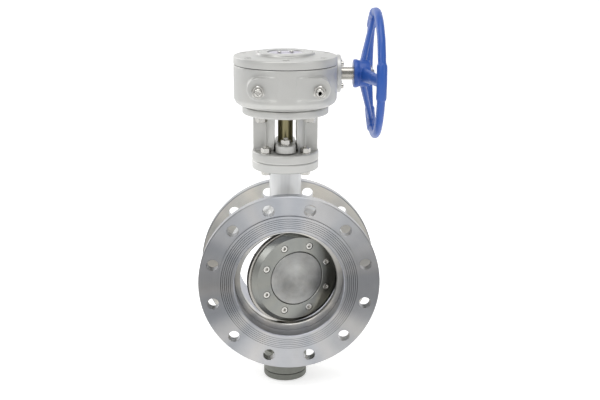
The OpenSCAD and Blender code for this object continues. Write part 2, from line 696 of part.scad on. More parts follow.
// Involute flank of the worm wheel: points from the root to the tip, half a tooth wide at the pitch circle
function involute_x(roll) = wheel_base_r * (cos(roll) + roll * PI / 180 * sin(roll));
function involute_y(roll) = wheel_base_r * (sin(roll) - roll * PI / 180 * cos(roll));
function polar_turn(p, a) = [p[0] * cos(a) - p[1] * sin(a), p[0] * sin(a) + p[1] * cos(a)];
function roll_at(radius) = sqrt(max(0, pow(radius / wheel_base_r, 2) - 1)) * 180 / PI;
pitch_roll = roll_at(wheel_pitch_r);
flank_shift = -90 / wheel_teeth - (pitch_roll - 20);
flank = [for (i = [0 : 4]) let (roll = roll_at(max(wheel_base_r, wheel_root_r + i * 6.75 / 4)))
    polar_turn([involute_x(roll), involute_y(roll)], flank_shift)];
tooth_outline = concat([polar_turn([wheel_root_r - 2, 0], flank_shift)], flank,
    [for (i = [4 : -1 : 0]) [flank[i][0], -flank[i][1]]],
        [polar_turn([wheel_root_r - 2, 0], -flank_shift)]);

module wheel_tooth(k) rotate([0, 0, 90 + (k + 0.5) * tooth_angle]) intersection() {
    rotate([-lead_angle, 0, 0]) translate([0, 0, -20]) linear_extrude(40) polygon(tooth_outline);
    translate([0, -20, run_gap - sector_half_face]) cube([80, 40, 2 * (sector_half_face - run_gap)]);
}

// Everything beyond the radial plane at the given angle, on one side of it
module beyond(angle, side) rotate([0, 0, angle])
    translate([-100, side > 0 ? run_gap : -200 - run_gap, -20]) cube([200, 200, 40]);

// The sector ends in the middle of its two end teeth, so that flat edges meet the stop screws
module toothed_sector() {
    intersection() {
        translate([0, 0, -sector_half_face]) rotate([0, 0, seam_turn])
            cylinder(r = wheel_root_r, h = 2 * sector_half_face);
        translate([0, 0, -20]) linear_extrude(40)
            polygon(concat([[0, 0]],
                [for (i = [0 : 4]) let (a = sector_start + i * (sector_end - sector_start) / 4)
                [80 * cos(a), 80 * sin(a)]]));
    }
    for (k = [sector_first_tooth + 1 : sector_last_tooth - 1]) wheel_tooth(k);
    intersection() {
        wheel_tooth(sector_first_tooth);
        beyond(sector_start, 1);
    }
    intersection() {
        wheel_tooth(sector_last_tooth);
        beyond(sector_end, -1);
    }
}

module worm_sector() color("goldenrod") at_stem() difference() {
    union() {
        translate([0, 0, yoke_top_z + 0.4]) rotate([0, 0, seam_turn])
            cylinder(r = hub_r, h = cover_z - yoke_top_z - 1);
        translate([0, 0, cover_z - 5]) rotate([0, 0, seam_turn])
            cylinder(r = journal_r, h = indicator_well_z + 0.6 - cover_z + 5);
        translate([0, 0, worm_z]) toothed_sector();
    }
    translate([0, 0, yoke_top_z]) cylinder(r = stem_r, h = stem_top_z - yoke_top_z + 1);
    translate([0, 0, 348.5]) rotate([0, 0, disc_open]) translate([stem_r - 4, -4, 0]) cube([7.3, 8, 36]);
    translate([0, 0, indicator_well_z - 9]) ring_of(2, 12, disc_open) cylinder(r = 2.5, h = 12);
}

module indicator_plate() color("thistle") at_stem(indicator_well_z + 0.6) rotate([0, 0, disc_open])
    difference() {
    union() {
        cone_ended(indicator_well_r - 1, 1.6, 0.4);
        translate([-27, -1.5, 1.6 - eps]) cube([54, 3, 0.8]);
    }
    translate([0, 0, -cut]) ring_of(2, 12) cylinder(r = 2.6, h = 5);
}
module indicator_screws() color("lightgray") at_stem(indicator_well_z - 8) rotate([0, 0, disc_open])
    ring_of(2, 12) {
    cylinder(r = 2.5, h = 11);
    translate([0, 0, 11]) difference() {
        cone_ended(4, 1.8, 0.6);
        translate([-5, -0.5, 1]) cube([10, 1, 1]);
    }
}

// ---- Worm shaft and handwheel: these turn together ----

// Right-hand thread as a trapezoid swept along its helix; it crosses the stem's plane on the wheel's side
thread_section = [[-1.9 - 0.55, worm_root_r - 0.6], [-1.9 + 0.55 * 2 - backlash / 2, worm_tip_r],
    [1.9 - 0.55 * 2 + backlash / 2, worm_tip_r], [1.9 + 0.55, worm_root_r - 0.6]];
thread_turns = (2 * worm_half - 6) / axial_pitch;
thread_rings = ceil(thread_turns * thread_steps);
function thread_point(i, p) = let (turn = (i / thread_rings - 0.5) * thread_turns * 360)
    [axial_pitch * turn / 360 + p[0], -p[1] * cos(turn), -p[1] * sin(turn)];
thread_points = [for (i = [0 : thread_rings]) for (p = thread_section) thread_point(i, p)];
thread_faces = concat([[3, 2, 1, 0]],
    [for (i = [0 : thread_rings - 1]) for (j = [0 : 3]) let (a = 4 * i + j, b = 4 * i + (j + 1) % 4)
        each [[a, b, a + 4], [b, b + 4, a + 4]]],
    [[for (j = [0 : 3]) 4 * thread_rings + j]]);

module worm_shaft() color("lightgray") {
    along_x(-83) cylinder(r = seat_r, h = 14);
    along_x(-72) cylinder(r = 15, h = stem_x - worm_half + 72 + eps);
    along_x(stem_x - worm_half) cylinder(r = worm_root_r, h = 2 * worm_half);
    translate([stem_x, worm_y, worm_z]) polyhedron(thread_points, thread_faces);
    along_x(stem_x + worm_half - eps) cylinder(r = 15, h = right_bearing_x - stem_x - worm_half + eps);
    along_x(right_bearing_x - eps) cylinder(r = seat_r, h = bearing_w + eps);
    difference() {
        along_x(right_bearing_x + bearing_w - eps)
            cylinder(r = shaft_r, h = hub_end_x - 1 - right_bearing_x - bearing_w);
        translate([hub_x + 2, worm_y - 4, worm_z + shaft_r - 4]) cube([50, 8, 10]);
        along_x(hub_end_x - 20) cylinder(r = 4, h = 40);
    }
}

module spoke() hull() {
    translate([20, 0, hub_x + 17]) rotate([0, 90, 0]) scale([0.5, 1, 1]) cylinder(r = 14, h = 2, $fn = 24);
    translate([rim_r - 5, 0, rim_x - 1]) rotate([0, 90, 0]) scale([0.5, 1, 1])
        cylinder(r = 11, h = 2, $fn = 24);
}

module handwheel() color("royalblue") difference() {
    union() {
        along_x() translate([0, 0, rim_x]) rotate_extrude() translate([rim_r, 0]) circle(d = rim_t);
        for (a = spoke_angles) along_x() rotate([0, 0, a]) {
            spoke();
            translate([0, 0, rim_x]) rotate([0, 0, -joint_span / 2])
                rotate_extrude(angle = joint_span) translate([rim_r, 0]) circle(d = rim_t + 4);
        }
        along_x(hub_x) cone_ended(wheel_collar_r, wheel_collar_w, 1.5);
        along_x(hub_x + 2) cone_ended(wheel_hub_r, hub_end_x - hub_x - 2, 2);
    }
    along_x(hub_x - cut) cylinder(r = shaft_r, h = 60);
    translate([hub_x - cut, worm_y - 4, worm_z]) cube([60, 8, shaft_r + 3.3]);
}

module handwheel_key() color("lightgray") translate([hub_x + 2.2, worm_y - 4, worm_z + shaft_r - 4])
    cube([28, 8, 7]);
module handwheel_washer() color("lightgray") along_x(hub_end_x) tube(16, 4.2, 3);
module handwheel_screw() color("lightgray") along_x(hub_end_x - 18) {
    cylinder(r = 4, h = 21);
    translate([0, 0, 21]) hexagon(13, 5.3);
}

valve_body();
seat_ring();
seat_gasket();
upper_bush();
lower_bush();
packing_washer();
packing_rings();
gland_sleeve();
gland_flange();
gland_studs();
gland_washers();
gland_nuts();
thrust_plate();
bottom_gasket();
bottom_cover();
bottom_cover_screws();
yoke();
yoke_bolts();
yoke_washers();
yoke_nuts();
gearbox_bolts();
gearbox_washers();
gear_housing();
cover_gasket();
gear_cover();
gear_cover_screws();
hub_o_ring();
indicator_o_ring();
bearing_outer_rings();
bearing_cover();
bearing_cover_screws();
shaft_seal();
stop_screws();
stop_lock_nuts();
stem();
disc_plate();
disc_pins();
seal_steel_rings();
seal_graphite_rings();
seal_gasket();
retaining_ring();
retaining_screws();
stem_key();
worm_sector();
indicator_plate();
indicator_screws();
worm_shaft();
bearing_inner_rings();
bearing_balls();
handwheel();
handwheel_key();
handwheel_washer();
handwheel_screw();
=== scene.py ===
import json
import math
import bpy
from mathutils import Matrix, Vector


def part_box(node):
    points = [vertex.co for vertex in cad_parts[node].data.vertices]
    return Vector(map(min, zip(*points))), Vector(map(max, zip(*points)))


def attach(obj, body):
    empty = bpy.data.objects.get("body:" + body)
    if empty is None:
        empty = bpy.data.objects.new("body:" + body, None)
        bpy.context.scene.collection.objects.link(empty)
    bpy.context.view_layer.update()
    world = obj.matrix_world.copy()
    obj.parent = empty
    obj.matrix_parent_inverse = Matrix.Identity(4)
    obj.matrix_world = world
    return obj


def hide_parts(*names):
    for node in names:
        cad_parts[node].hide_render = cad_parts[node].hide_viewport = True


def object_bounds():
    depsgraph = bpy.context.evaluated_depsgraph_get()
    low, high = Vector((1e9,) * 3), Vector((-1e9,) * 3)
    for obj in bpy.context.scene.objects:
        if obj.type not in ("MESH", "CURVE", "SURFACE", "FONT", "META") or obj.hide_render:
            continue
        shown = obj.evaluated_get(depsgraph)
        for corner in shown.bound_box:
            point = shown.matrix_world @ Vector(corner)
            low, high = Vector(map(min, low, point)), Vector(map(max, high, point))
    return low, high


bl_info = {
    "name": "Worm-Geared Butterfly Valve",
    "version": (1, 0, 0),
    "blender": (4, 5, 0),
    "location": "3D View > Sidebar > Valve",
    "description": "Finishes a flanged butterfly valve: castings, turned parts, fasteners, "
                   "coats and stage",
    "category": "Add Mesh",
}

from functools import partial

import bmesh
import bpy
from bpy.props import FloatProperty, FloatVectorProperty, IntProperty, PointerProperty
from mathutils import Matrix, Vector, noise

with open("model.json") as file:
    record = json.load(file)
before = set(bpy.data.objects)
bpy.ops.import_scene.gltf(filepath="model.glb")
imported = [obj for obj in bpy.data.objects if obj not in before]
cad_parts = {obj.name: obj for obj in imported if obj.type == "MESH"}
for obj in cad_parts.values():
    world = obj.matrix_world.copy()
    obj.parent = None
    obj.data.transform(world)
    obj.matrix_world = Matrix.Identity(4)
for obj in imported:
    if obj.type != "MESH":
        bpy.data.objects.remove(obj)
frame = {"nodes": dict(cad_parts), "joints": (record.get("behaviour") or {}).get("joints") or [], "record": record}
CAD_LOW, CAD_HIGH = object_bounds()
MM = 0.001


def middle(node):
    """Centre of a CAD node's box."""
    low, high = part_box(node)
    return (low + high) / 2


# The axes that everything is built on
STEM = middle("stem")
SHAFT = middle("bearing_inner_rings")
PIPE_LENGTH, BODY_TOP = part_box("valve_body")[1].yz
OPEN_ANGLE = -next(j for j in frame["joints"] if j["name"] == "disc_turn")["range_deg"][0]

# Sizes that tell the body's regions apart
FLANGE_T = 24 * MM
BORE_R = 104 * MM
BARREL_R = 127 * MM
TRUNNION_REACH = 45 * MM
NECK_FLANGE_T = 16.5 * MM

# Radii of the circles that the fasteners stand on
NECK_CIRCLE = 51 * MM
GEARBOX_CIRCLE = 62.5 * MM
GLAND_CIRCLE = 37 * MM
COVER_CIRCLE = 83 * MM
BEARING_CIRCLE = 29.5 * MM
BOTTOM_CIRCLE = 30 * MM
DISC_CIRCLE = 66.3 * MM

DISC_RING_FACE = 30.9 * MM
COVER_SCREW_ANGLES = (20, 160, 215, 270, 325)
SQUARE_ANGLES = (45, 135, 225, 315)
PAIR = {"count": 2, "first": 90, "step": 180}
UPRIGHT = Matrix.Identity(4)


def on_stem(z=0.0):
    """Placement whose Z runs up the stem."""
    return Matrix.Translation((STEM.x, STEM.y, z))


def on_shaft(x=0.0):
    """Placement whose Z runs out along the worm shaft."""
    return Matrix.Translation((x, SHAFT.y, SHAFT.z)) @ Matrix.Rotation(math.pi / 2, 4, "Y")


def on_pipe(y=0.0):
    """Placement whose Z runs down the pipe."""
    return Matrix.Translation((0, y, 0)) @ Matrix.Rotation(-math.pi / 2, 4, "X")


def with_disc(place):
    """Turns a placement with the part-open disc about the stem."""
    turn = on_stem() @ Matrix.Rotation(math.radians(OPEN_ANGLE), 4, "Z") @ on_stem().inverted()
    return turn @ place


def on_ring(place, angle, radius):
    """Placement on a circle about another placement's Z, at an angle in degrees."""
    return place @ Matrix.Rotation(math.radians(angle), 4, "Z") @ Matrix.Translation((radius, 0, 0))


# ---- Sizes and colours a user may change ----


class ValveCastingSizes(bpy.types.PropertyGroup):
    """How a casting's skin is rounded and roughened."""

    grain: FloatProperty(
        name="Casting grain", description="Mesh size of a blended casting",
        default=1.5 * MM, min=0.8 * MM, max=3 * MM, unit="LENGTH")
    soften: IntProperty(
        name="Softening", description="Smoothing passes that round a casting's corners",
        default=3, min=1, max=12)
    lump: FloatProperty(
        name="Lumps", description="Height of the unevenness left by the mould",
        default=0.18 * MM, min=0, max=1 * MM, unit="LENGTH")


class ValveWheelSizes(bpy.types.PropertyGroup):
    """Sizes of the handwheel's casting."""

    rim_radius: FloatProperty(
        name="Rim", description="Radius of the rim's centre line",
        default=116.5 * MM, unit="LENGTH")
    rim_section: FloatProperty(
        name="Rim section", description="Radius of the rim's round section",
        default=7.75 * MM, unit="LENGTH")
    joint_section: FloatProperty(
        name="Joint section", description="Radius of the rim where a spoke joins it",
        default=9.75 * MM, unit="LENGTH")
    joint_span: FloatProperty(
        name="Joint span", description="Length of rim that is thickened at a spoke",
        default=math.radians(32), subtype="ANGLE")
    rib: FloatProperty(
        name="Spoke rib", description="Height of the rib along each spoke",
        default=2.2 * MM, unit="LENGTH")


class ValveColours(bpy.types.PropertyGroup):
    """Colours of the finishes."""

    coat: FloatVectorProperty(
        name="Silver coat", description="Satin coat on the castings", subtype="COLOR", size=3,
        default=(0.55, 0.55, 0.535), min=0, max=1)
    turned: FloatVectorProperty(
        name="Turned steel", description="Face-turned stainless steel", subtype="COLOR", size=3,
        default=(0.4, 0.405, 0.415), min=0, max=1)
    disc: FloatVectorProperty(
        name="Disc steel", description="Fine-turned steel of the disc", subtype="COLOR", size=3,
        default=(0.29, 0.295, 0.275), min=0, max=1)
    stem: FloatVectorProperty(
        name="Stem", description="Olive-bronze tint of the stem", subtype="COLOR", size=3,
        default=(0.3, 0.27, 0.155), min=0, max=1)
    plating: FloatVectorProperty(
        name="Plating", description="Bright plating on the fasteners", subtype="COLOR", size=3,
        default=(0.6, 0.59, 0.56), min=0, max=1)
    enamel: FloatVectorProperty(
        name="Blue enamel", description="Enamel on the handwheel", subtype="COLOR", size=3,
        default=(0.012, 0.085, 0.4), min=0, max=1)


class ValveStage(bpy.types.PropertyGroup):
    """Camera and light."""

    camera_place: FloatVectorProperty(
        name="Camera", description="Place of the camera", subtype="TRANSLATION", size=3,
        default=(-0.0423, -1.7607, 0.652))
    yaw: FloatProperty(
        name="Yaw", description="Turn of the view to the right", default=0.035, subtype="ANGLE")
    pitch: FloatProperty(
        name="Pitch", description="Tilt of the view below the horizon", default=0.27,
        subtype="ANGLE")
    roll: FloatProperty(
        name="Roll", description="Turn of the camera about its own view", default=0.005,
        subtype="ANGLE")
    lens: FloatProperty(
        name="Lens", description="Focal length for a 36 mm sensor", default=60.1, unit="CAMERA")
    world: FloatProperty(
        name="Ambient", description="Strength of the even light all round", default=0.42)
    key: FloatProperty(
        name="Key light", description="Power of the large light at the upper left", default=15,
        unit="POWER")


# ---- Mesh helpers ----


def arc_corner(before, corner, after, radius, steps=5):
    """Points of a fillet at a corner of an outline."""
    a = (Vector(before) - Vector(corner)).normalized()
    b = (Vector(after) - Vector(corner)).normalized()
    half = a.angle(b) / 2
    reach = radius / math.tan(half)
    centre = Vector(corner) + (a + b).normalized() * radius / math.sin(half)
    start = Vector(corner) + a * reach - centre
    end = Vector(corner) + b * reach - centre
    sweep = start.angle_signed(end)
    return [centre + Matrix.Rotation(-sweep * i / steps, 2) @ start for i in range(steps + 1)]


def outline(points, scale=MM):
    """Outline from (x, y) or (x, y, fillet) points in millimetres."""
    made = []
    for i, p in enumerate(points):
        if len(p) == 2 or p[2] == 0:
            made.append(Vector(p[:2]) * scale)
            continue
        before = Vector(points[i - 1][:2]) * scale
        after = Vector(points[(i + 1) % len(points)][:2]) * scale
        made += arc_corner(before, Vector(p[:2]) * scale, after, p[2] * scale)
    return made


def add_turned(bm, profile, place, steps=96):
    """Adds a solid of revolution from (radius, height) points.

    A profile that stays off the axis closes on itself."""
    rings = []
    for r, h in profile:
        if r < 1e-7:
            rings.append([bm.verts.new(place @ Vector((0, 0, h)))])
            continue
        turns = (2 * math.pi * i / steps for i in range(steps))
        rings.append([bm.verts.new(place @ Vector((r * math.cos(t), r * math.sin(t),
                                                   h))) for t in turns])
    closed = len(rings[0]) > 1 and len(rings[-1]) > 1
    pairs = list(zip(rings, rings[1:])) + ([(rings[-1], rings[0])] if closed else [])
    for low, high in pairs:
        for i in range(steps):
            j = (i + 1) % steps
            corners = [low[i % len(low)], low[j % len(low)], high[j % len(high)],
                       high[i % len(high)]]
            face = list(dict.fromkeys(corners))
            if len(face) > 2:
                bm.faces.new(face)


def add_rod(bm, place, radius, low, high, steps=48):
    """Adds a plain cylinder along the placement's Z."""
    add_turned(bm, [(0, low), (radius, low), (radius, high), (0, high)], place, steps)


def add_prism(bm, points, place, low, high):
    """Adds an extruded outline along the placement's Z."""
    bottom = [bm.verts.new(place @ Vector((p[0], p[1], low))) for p in points]
    top = [bm.verts.new(place @ Vector((p[0], p[1], high))) for p in points]
    bm.faces.new(bottom[::-1])
    bm.faces.new(top)
    for i in range(len(points)):
        j = (i + 1) % len(points)
        bm.faces.new([bottom[i], bottom[j], top[j], top[i]])


def box_points(x0, x1, y0, y1):
    """Corners of a rectangle."""
    return [(x0, y0), (x1, y0), (x1, y1), (x0, y1)]


def hexagon(flats):
    """Outline of a hexagon of the given size across flats."""
    return [(flats / 2 / math.cos(math.pi / 6) * math.cos(math.radians(a)),
             flats / 2 / math.cos(math.pi / 6) * math.sin(math.radians(a))) for a in range(0, 360,
                                                                                           60)]


def add_thread(bm, place, radius, low, high, pitch, steps=28, rows=6):
    """Adds a closed rod with a real helical thread."""
    depth = 0.55 * pitch
    count = max(2, round((high - low) / pitch * rows))
    rings = []
    for k in range(count + 1):
        h = low + (high - low) * k / count
        ease = min(1.0, (h - low) / pitch + 0.25, (high - h) / pitch + 0.25)
        ring = []
        for i in range(steps):
            phase = (h / pitch - i / steps) % 1
            tooth = abs(2 * phase - 1)
            r = radius - depth * (1 - tooth) - (1 - ease) * depth * 0.6
            t = 2 * math.pi * i / steps
            ring.append(bm.verts.new(place @ Vector((r * math.cos(t), r * math.sin(t), h))))
        rings.append(ring)
    for low_ring, high_ring in zip(rings, rings[1:]):
        for i in range(steps):
            j = (i + 1) % steps
            bm.faces.new([low_ring[i], low_ring[j], high_ring[j], high_ring[i]])
    bm.faces.new(rings[0][::-1])
    bm.faces.new(rings[-1])


def to_object(bm, name):
    """Object of a bmesh, with its faces turned outwards."""
    bmesh.ops.recalc_face_normals(bm, faces=bm.faces)
    mesh = bpy.data.meshes.new(name)
    bm.to_mesh(mesh)
    bm.free()
    obj = bpy.data.objects.new(name, mesh)
    bpy.context.scene.collection.objects.link(obj)
    return obj


def settle(obj):
    """Applies an object's modifiers to its mesh."""
    bpy.context.view_layer.update()
    depsgraph = bpy.context.evaluated_depsgraph_get()
    mesh = bpy.data.meshes.new_from_object(obj.evaluated_get(depsgraph), depsgraph=depsgraph)
    obj.modifiers.clear()
    old = obj.data
    obj.data = mesh
    mesh.name = obj.name
    bpy.data.meshes.remove(old)
    return obj


def shape_with(obj, cutter, operation):
    """Joins, cuts or trims an object with another, which is used up."""
    modifier = obj.modifiers.new("shape", "BOOLEAN")
    modifier.operation = operation
    modifier.solver = "MANIFOLD"
    modifier.object = cutter
    settle(obj)
    bpy.data.objects.remove(cutter)
    return obj


def node_mesh(node):
    """A CAD node's mesh, welded."""
    bm = bmesh.new()
    bm.from_mesh(frame["nodes"][node].data)
    bmesh.ops.remove_doubles(bm, verts=bm.verts, dist=0.001 * MM)
    return bm


def cast(bm, name, grain, passes, lump):
    """Blends overlapping solids into one casting with rounded corners and an uneven skin."""
    obj = to_object(bm, name)
    remesh = obj.modifiers.new("blend", "REMESH")
    remesh.mode = "VOXEL"
    remesh.voxel_size = grain
    smooth = obj.modifiers.new("soften", "SMOOTH")
    smooth.factor = 0.6
    smooth.iterations = passes
    settle(obj)
    places = [v.co.copy() for v in obj.data.vertices]
    outward = [v.vector.copy() for v in obj.data.vertex_normals]
    moved = []
    for place, way in zip(places, outward):
        height = lump * (noise.noise(place / (14 * MM)) + 0.4 * noise.noise(place / (5 * MM)))
        moved.extend(place + way * height)
    obj.data.vertices.foreach_set("co", moved)
    obj.data.update()
    return obj


def round_shading(obj, angle=32):
    """Smooth shading broken at edges sharper than an angle."""
    for polygon in obj.data.polygons:
        polygon.use_smooth = True
    obj.data.set_sharp_from_angle(angle=math.radians(angle))
    return obj


def finish_piece(obj, body, slot, material, *nodes):
    """Gives a piece its finish and its body, and hides the CAD nodes that it stands for."""
    obj.data.materials.clear()
    obj.data.materials.append(material)
    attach(obj, body)
    if nodes:
        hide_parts(*nodes)
    return obj


# ---- Finishes ----


def add_node(tree, kind, label, sockets=None, **properties):
    """Adds a labelled node with its own properties and its sockets' values."""
    node = tree.nodes.new(kind)
    node.label = label
    for name, value in properties.items():
        setattr(node, name, value)
    for name, value in (sockets or {}).items():
        node.inputs[name].default_value = value
    return node


def link_up(tree, joints):
    """Links nodes: each joint is a node, its output, the next node and its input."""
    for start, output, end, socket in joints:
        tree.links.new(start.outputs[output], end.inputs[socket])


def new_material(name, label, sockets):
    """A node material, its tree and its shader, with a label and socket values."""
    material = bpy.data.materials.new(name)
    material.use_nodes = True
    shader = material.node_tree.nodes["Principled BSDF"]
    shader.label = label
    for socket, value in sockets.items():
        shader.inputs[socket].default_value = value
    return material, material.node_tree, shader


def frame_nodes(tree, label, nodes, top):
    """Puts nodes in a labelled frame, in a row."""
    holder = tree.nodes.new("NodeFrame")
    holder.label = label
    for i, node in enumerate(nodes):
        node.parent = holder
        node.location = (i * 200 - 1400, top)


def turned_steel(name, colour, centre, place, marks, roughness, tint=0.07, painted_sectors=0.5, clouds=0.1):
    """Steel turned about an axis: concentric tool marks, brushed highlights, faint bands of tint that are painted
    reflection.

    The strength of the sectored painted reflection sets how far the sides are darkened against the top and bottom;
    clouds is the strength of the wear."""
    material, tree, shader = new_material(name, "Turned steel",
                                          {"Metallic": 1.0, "Anisotropic": 0.65})
    add = partial(add_node, tree)

    point = add("ShaderNodeTexCoord", "Place on the part")
    about = add("ShaderNodeMapping", "Centre on the turning axis",
                {"Location": centre, "Rotation": place}, vector_type="TEXTURE")
    flat = add("ShaderNodeVectorMath", "Drop the distance along the axis", {1: (1, 1, 0)},
               operation="MULTIPLY")
    radius = add("ShaderNodeVectorMath", "Radius", operation="LENGTH")
    direction = add("ShaderNodeVectorMath", "Direction from the axis", operation="NORMALIZE")
    frame_nodes(tree, "Turning axis", [point, about, flat, radius, direction], 500)

    tangent = add("ShaderNodeVectorMath", "Run of the tool marks", {0: (0, 0, 1)},
                  operation="CROSS_PRODUCT")
    untwist = add("ShaderNodeVectorRotate", "Back to the part's axes", {"Rotation": place},
                  rotation_type="EULER_XYZ")
    carry = add("ShaderNodeVectorTransform", "Turn with the part", vector_type="VECTOR",
                convert_from="OBJECT", convert_to="WORLD")
    frame_nodes(tree, "Brushed highlight", [tangent, untwist, carry], 200)

    tool = add("ShaderNodeTexNoise", "Tool marks", {"Scale": marks, "Detail": 3.0},
               noise_dimensions="1D")
    bump = add("ShaderNodeBump", "Depth of the marks", {"Strength": 0.12, "Distance": 0.00008})
    rough = add("ShaderNodeMapRange", "Uneven polish",
                {"To Min": roughness - 0.05, "To Max": roughness + 0.09})
    frame_nodes(tree, "Tool marks", [tool, bump, rough], -100)

    # Painted reflection: noise by angle about the axis gives the colour bands of warmer and cooler tint, standing
    # in for tinted reflections.
    sector = add("ShaderNodeTexNoise", "Bands across the marks", {"Scale": 2.6, "Detail": 1.0})
    cloud = add("ShaderNodeTexNoise", "Handling marks", {"Scale": 22, "Detail": 5.0})
    painted_reflection_tint = add("ShaderNodeMix", "Warm and cool bands",
               {"A": (colour[0] * (1 - tint), colour[1], colour[2] * (1 + 1.6 * tint), 1),
                "B": (colour[0] * (1 + tint), colour[1], colour[2] * (1 - 1.4 * tint), 1)},
                data_type="RGBA")
    worn = add("ShaderNodeMapRange", "Darker where handled",
               {"From Min": 0.25, "From Max": 0.75, "To Min": 1 - clouds, "To Max": 1 + clouds})
    lines = add("ShaderNodeMapRange", "Bright and dark lines",
                {"From Min": 0.3, "From Max": 0.7, "To Min": 0.93, "To Max": 1.05})
    both = add("ShaderNodeMath", "Wear and lines", operation="MULTIPLY")
    shade = add("ShaderNodeVectorMath", "Shaded colour", operation="SCALE")
    frame_nodes(tree, "Colour", [sector, cloud, painted_reflection_tint, worn, lines, both, shade], -400)

    # Painted reflection: the colour is darkened at the sides of the turning and lightened at its top and bottom,
    # the way brushed steel reflects the lamps.
    split = add("ShaderNodeSeparateXYZ", "How far up or down")
    upright = add("ShaderNodeMath", "Same above and below", operation="ABSOLUTE")
    waver = add("ShaderNodeMath", "Uneven sectors", {1: 1.1}, operation="MULTIPLY_ADD")
    painted_reflection_sectors = add("ShaderNodeMapRange", "Dark at the sides, light at top and bottom",
                {"From Min": 0.6, "From Max": 1.75, "To Min": 1 - painted_sectors,
                 "To Max": 1 + 0.35 * painted_sectors}, interpolation_type="SMOOTHSTEP")
    whole = add("ShaderNodeMath", "Wear, lines and sectors", operation="MULTIPLY")
    frame_nodes(tree, "Sectors", [split, upright, waver, painted_reflection_sectors, whole], -700)
    link_up(tree, (
        (direction, "Vector", split, "Vector"),
        (split, "Y", upright, 0),
        (sector, "Fac", waver, 0),
        (upright, "Value", waver, 2),
        (waver, "Value", painted_reflection_sectors, "Value"),
        (painted_reflection_sectors, "Result", whole, 0),
        (both, "Value", whole, 1),
        (point, "Object", about, "Vector"),
        (about, "Vector", flat, 0),
        (flat, "Vector", radius, 0),
        (flat, "Vector", direction, 0),
        (direction, "Vector", tangent, 1),
        (tangent, "Vector", untwist, "Vector"),
        (untwist, "Vector", carry, "Vector"),
        (carry, "Vector", shader, "Tangent"),
        (radius, "Value", tool, "W"),
        (tool, "Fac", bump, "Height"),
        (bump, "Normal", shader, "Normal"),
        (cloud, "Fac", rough, "Value"),
        (rough, "Result", shader, "Roughness"),
        (direction, "Vector", sector, "Vector"),
        (point, "Object", cloud, "Vector"),
        (sector, "Fac", painted_reflection_tint, "Factor"),
        (cloud, "Fac", worn, "Value"),
        (tool, "Fac", lines, "Value"),
        (worn, "Result", both, 0),
        (lines, "Result", both, 1),
        (painted_reflection_tint, "Result", shade, 0),
        (whole, "Value", shade, "Scale"),
        (shade, "Vector", shader, "Base Color"),
    ))
    return material


def cast_coat(name, colour, roughness, metallic, grain, coat=0.0):
    """A coat sprayed over a casting: fine grain, slow unevenness, lighter worn edges and painted shade in the
    hollows.
    """
    material, tree, shader = new_material(name, "Coat", {
        "Metallic": metallic, "Coat Weight": coat, "Coat Roughness": 0.12})
    add = partial(add_node, tree)

    point = add("ShaderNodeTexCoord", "Place on the part")
    sand = add("ShaderNodeTexNoise", "Sand grain", {"Scale": 900, "Detail": 4.0})
    swell = add("ShaderNodeTexNoise", "Uneven skin", {"Scale": 75, "Detail": 3.0})
    relief = add("ShaderNodeMath", "Grain over unevenness", {1: 0.35}, operation="MULTIPLY_ADD")
    bump = add("ShaderNodeBump", "Depth of the grain", {"Strength": grain, "Distance": 0.0006})
    frame_nodes(tree, "Cast texture", [point, sand, swell, relief, bump], 300)

    patch = add("ShaderNodeTexNoise", "Thick and thin coat", {"Scale": 14, "Detail": 6.0})
    body = add("ShaderNodeMix", "Coat colour",
               {"A": (colour[0] * 0.88, colour[1] * 0.89, colour[2] * 0.91, 1),
                "B": (colour[0] * 1.1, colour[1] * 1.09, colour[2] * 1.06, 1)}, data_type="RGBA")
    rough = add("ShaderNodeMapRange", "Uneven gloss",
                {"To Min": roughness - 0.07, "To Max": roughness + 0.1})
    frame_nodes(tree, "Colour and gloss", [patch, body, rough], 0)

    shape = add("ShaderNodeNewGeometry", "Edges and hollows")
    edge = add("ShaderNodeMapRange", "Worn edges",
               {"From Min": 0.5, "From Max": 0.6, "To Max": 0.35})
    worn = add("ShaderNodeMix", "Lighter on the edges",
               {"B": (*[min(1.0, c * 1.3 + 0.08) for c in colour], 1)}, data_type="RGBA")
    # Painted shade: the colour is darkened in the hollows, where shade falls.
    painted_hollow_shade = add("ShaderNodeMapRange", "Dust in the hollows",
                 {"From Min": 0.4, "From Max": 0.495, "To Min": 0.7, "To Max": 1.0})
    shade = add("ShaderNodeVectorMath", "Shaded colour", operation="SCALE")
    # The frame holds the worn edges and the painted shade in the hollows.
    frame_nodes(tree, "Wear", [shape, edge, worn, painted_hollow_shade, shade], -300)

    link_up(tree, (
        (point, "Object", sand, "Vector"),
        (point, "Object", swell, "Vector"),
        (point, "Object", patch, "Vector"),
        (sand, "Fac", relief, 0),
        (swell, "Fac", relief, 2),
        (relief, "Value", bump, "Height"),
        (bump, "Normal", shader, "Normal"),
        (patch, "Fac", body, "Factor"),
        (swell, "Fac", rough, "Value"),
        (rough, "Result", shader, "Roughness"),
        (shape, "Pointiness", edge, "Value"),
        (shape, "Pointiness", painted_hollow_shade, "Value"),
        (edge, "Result", worn, "Factor"),
        (body, "Result", worn, "A"),
        (worn, "Result", shade, 0),
        (painted_hollow_shade, "Result", shade, "Scale"),
        (shade, "Vector", shader, "Base Color"),
    ))
    return material


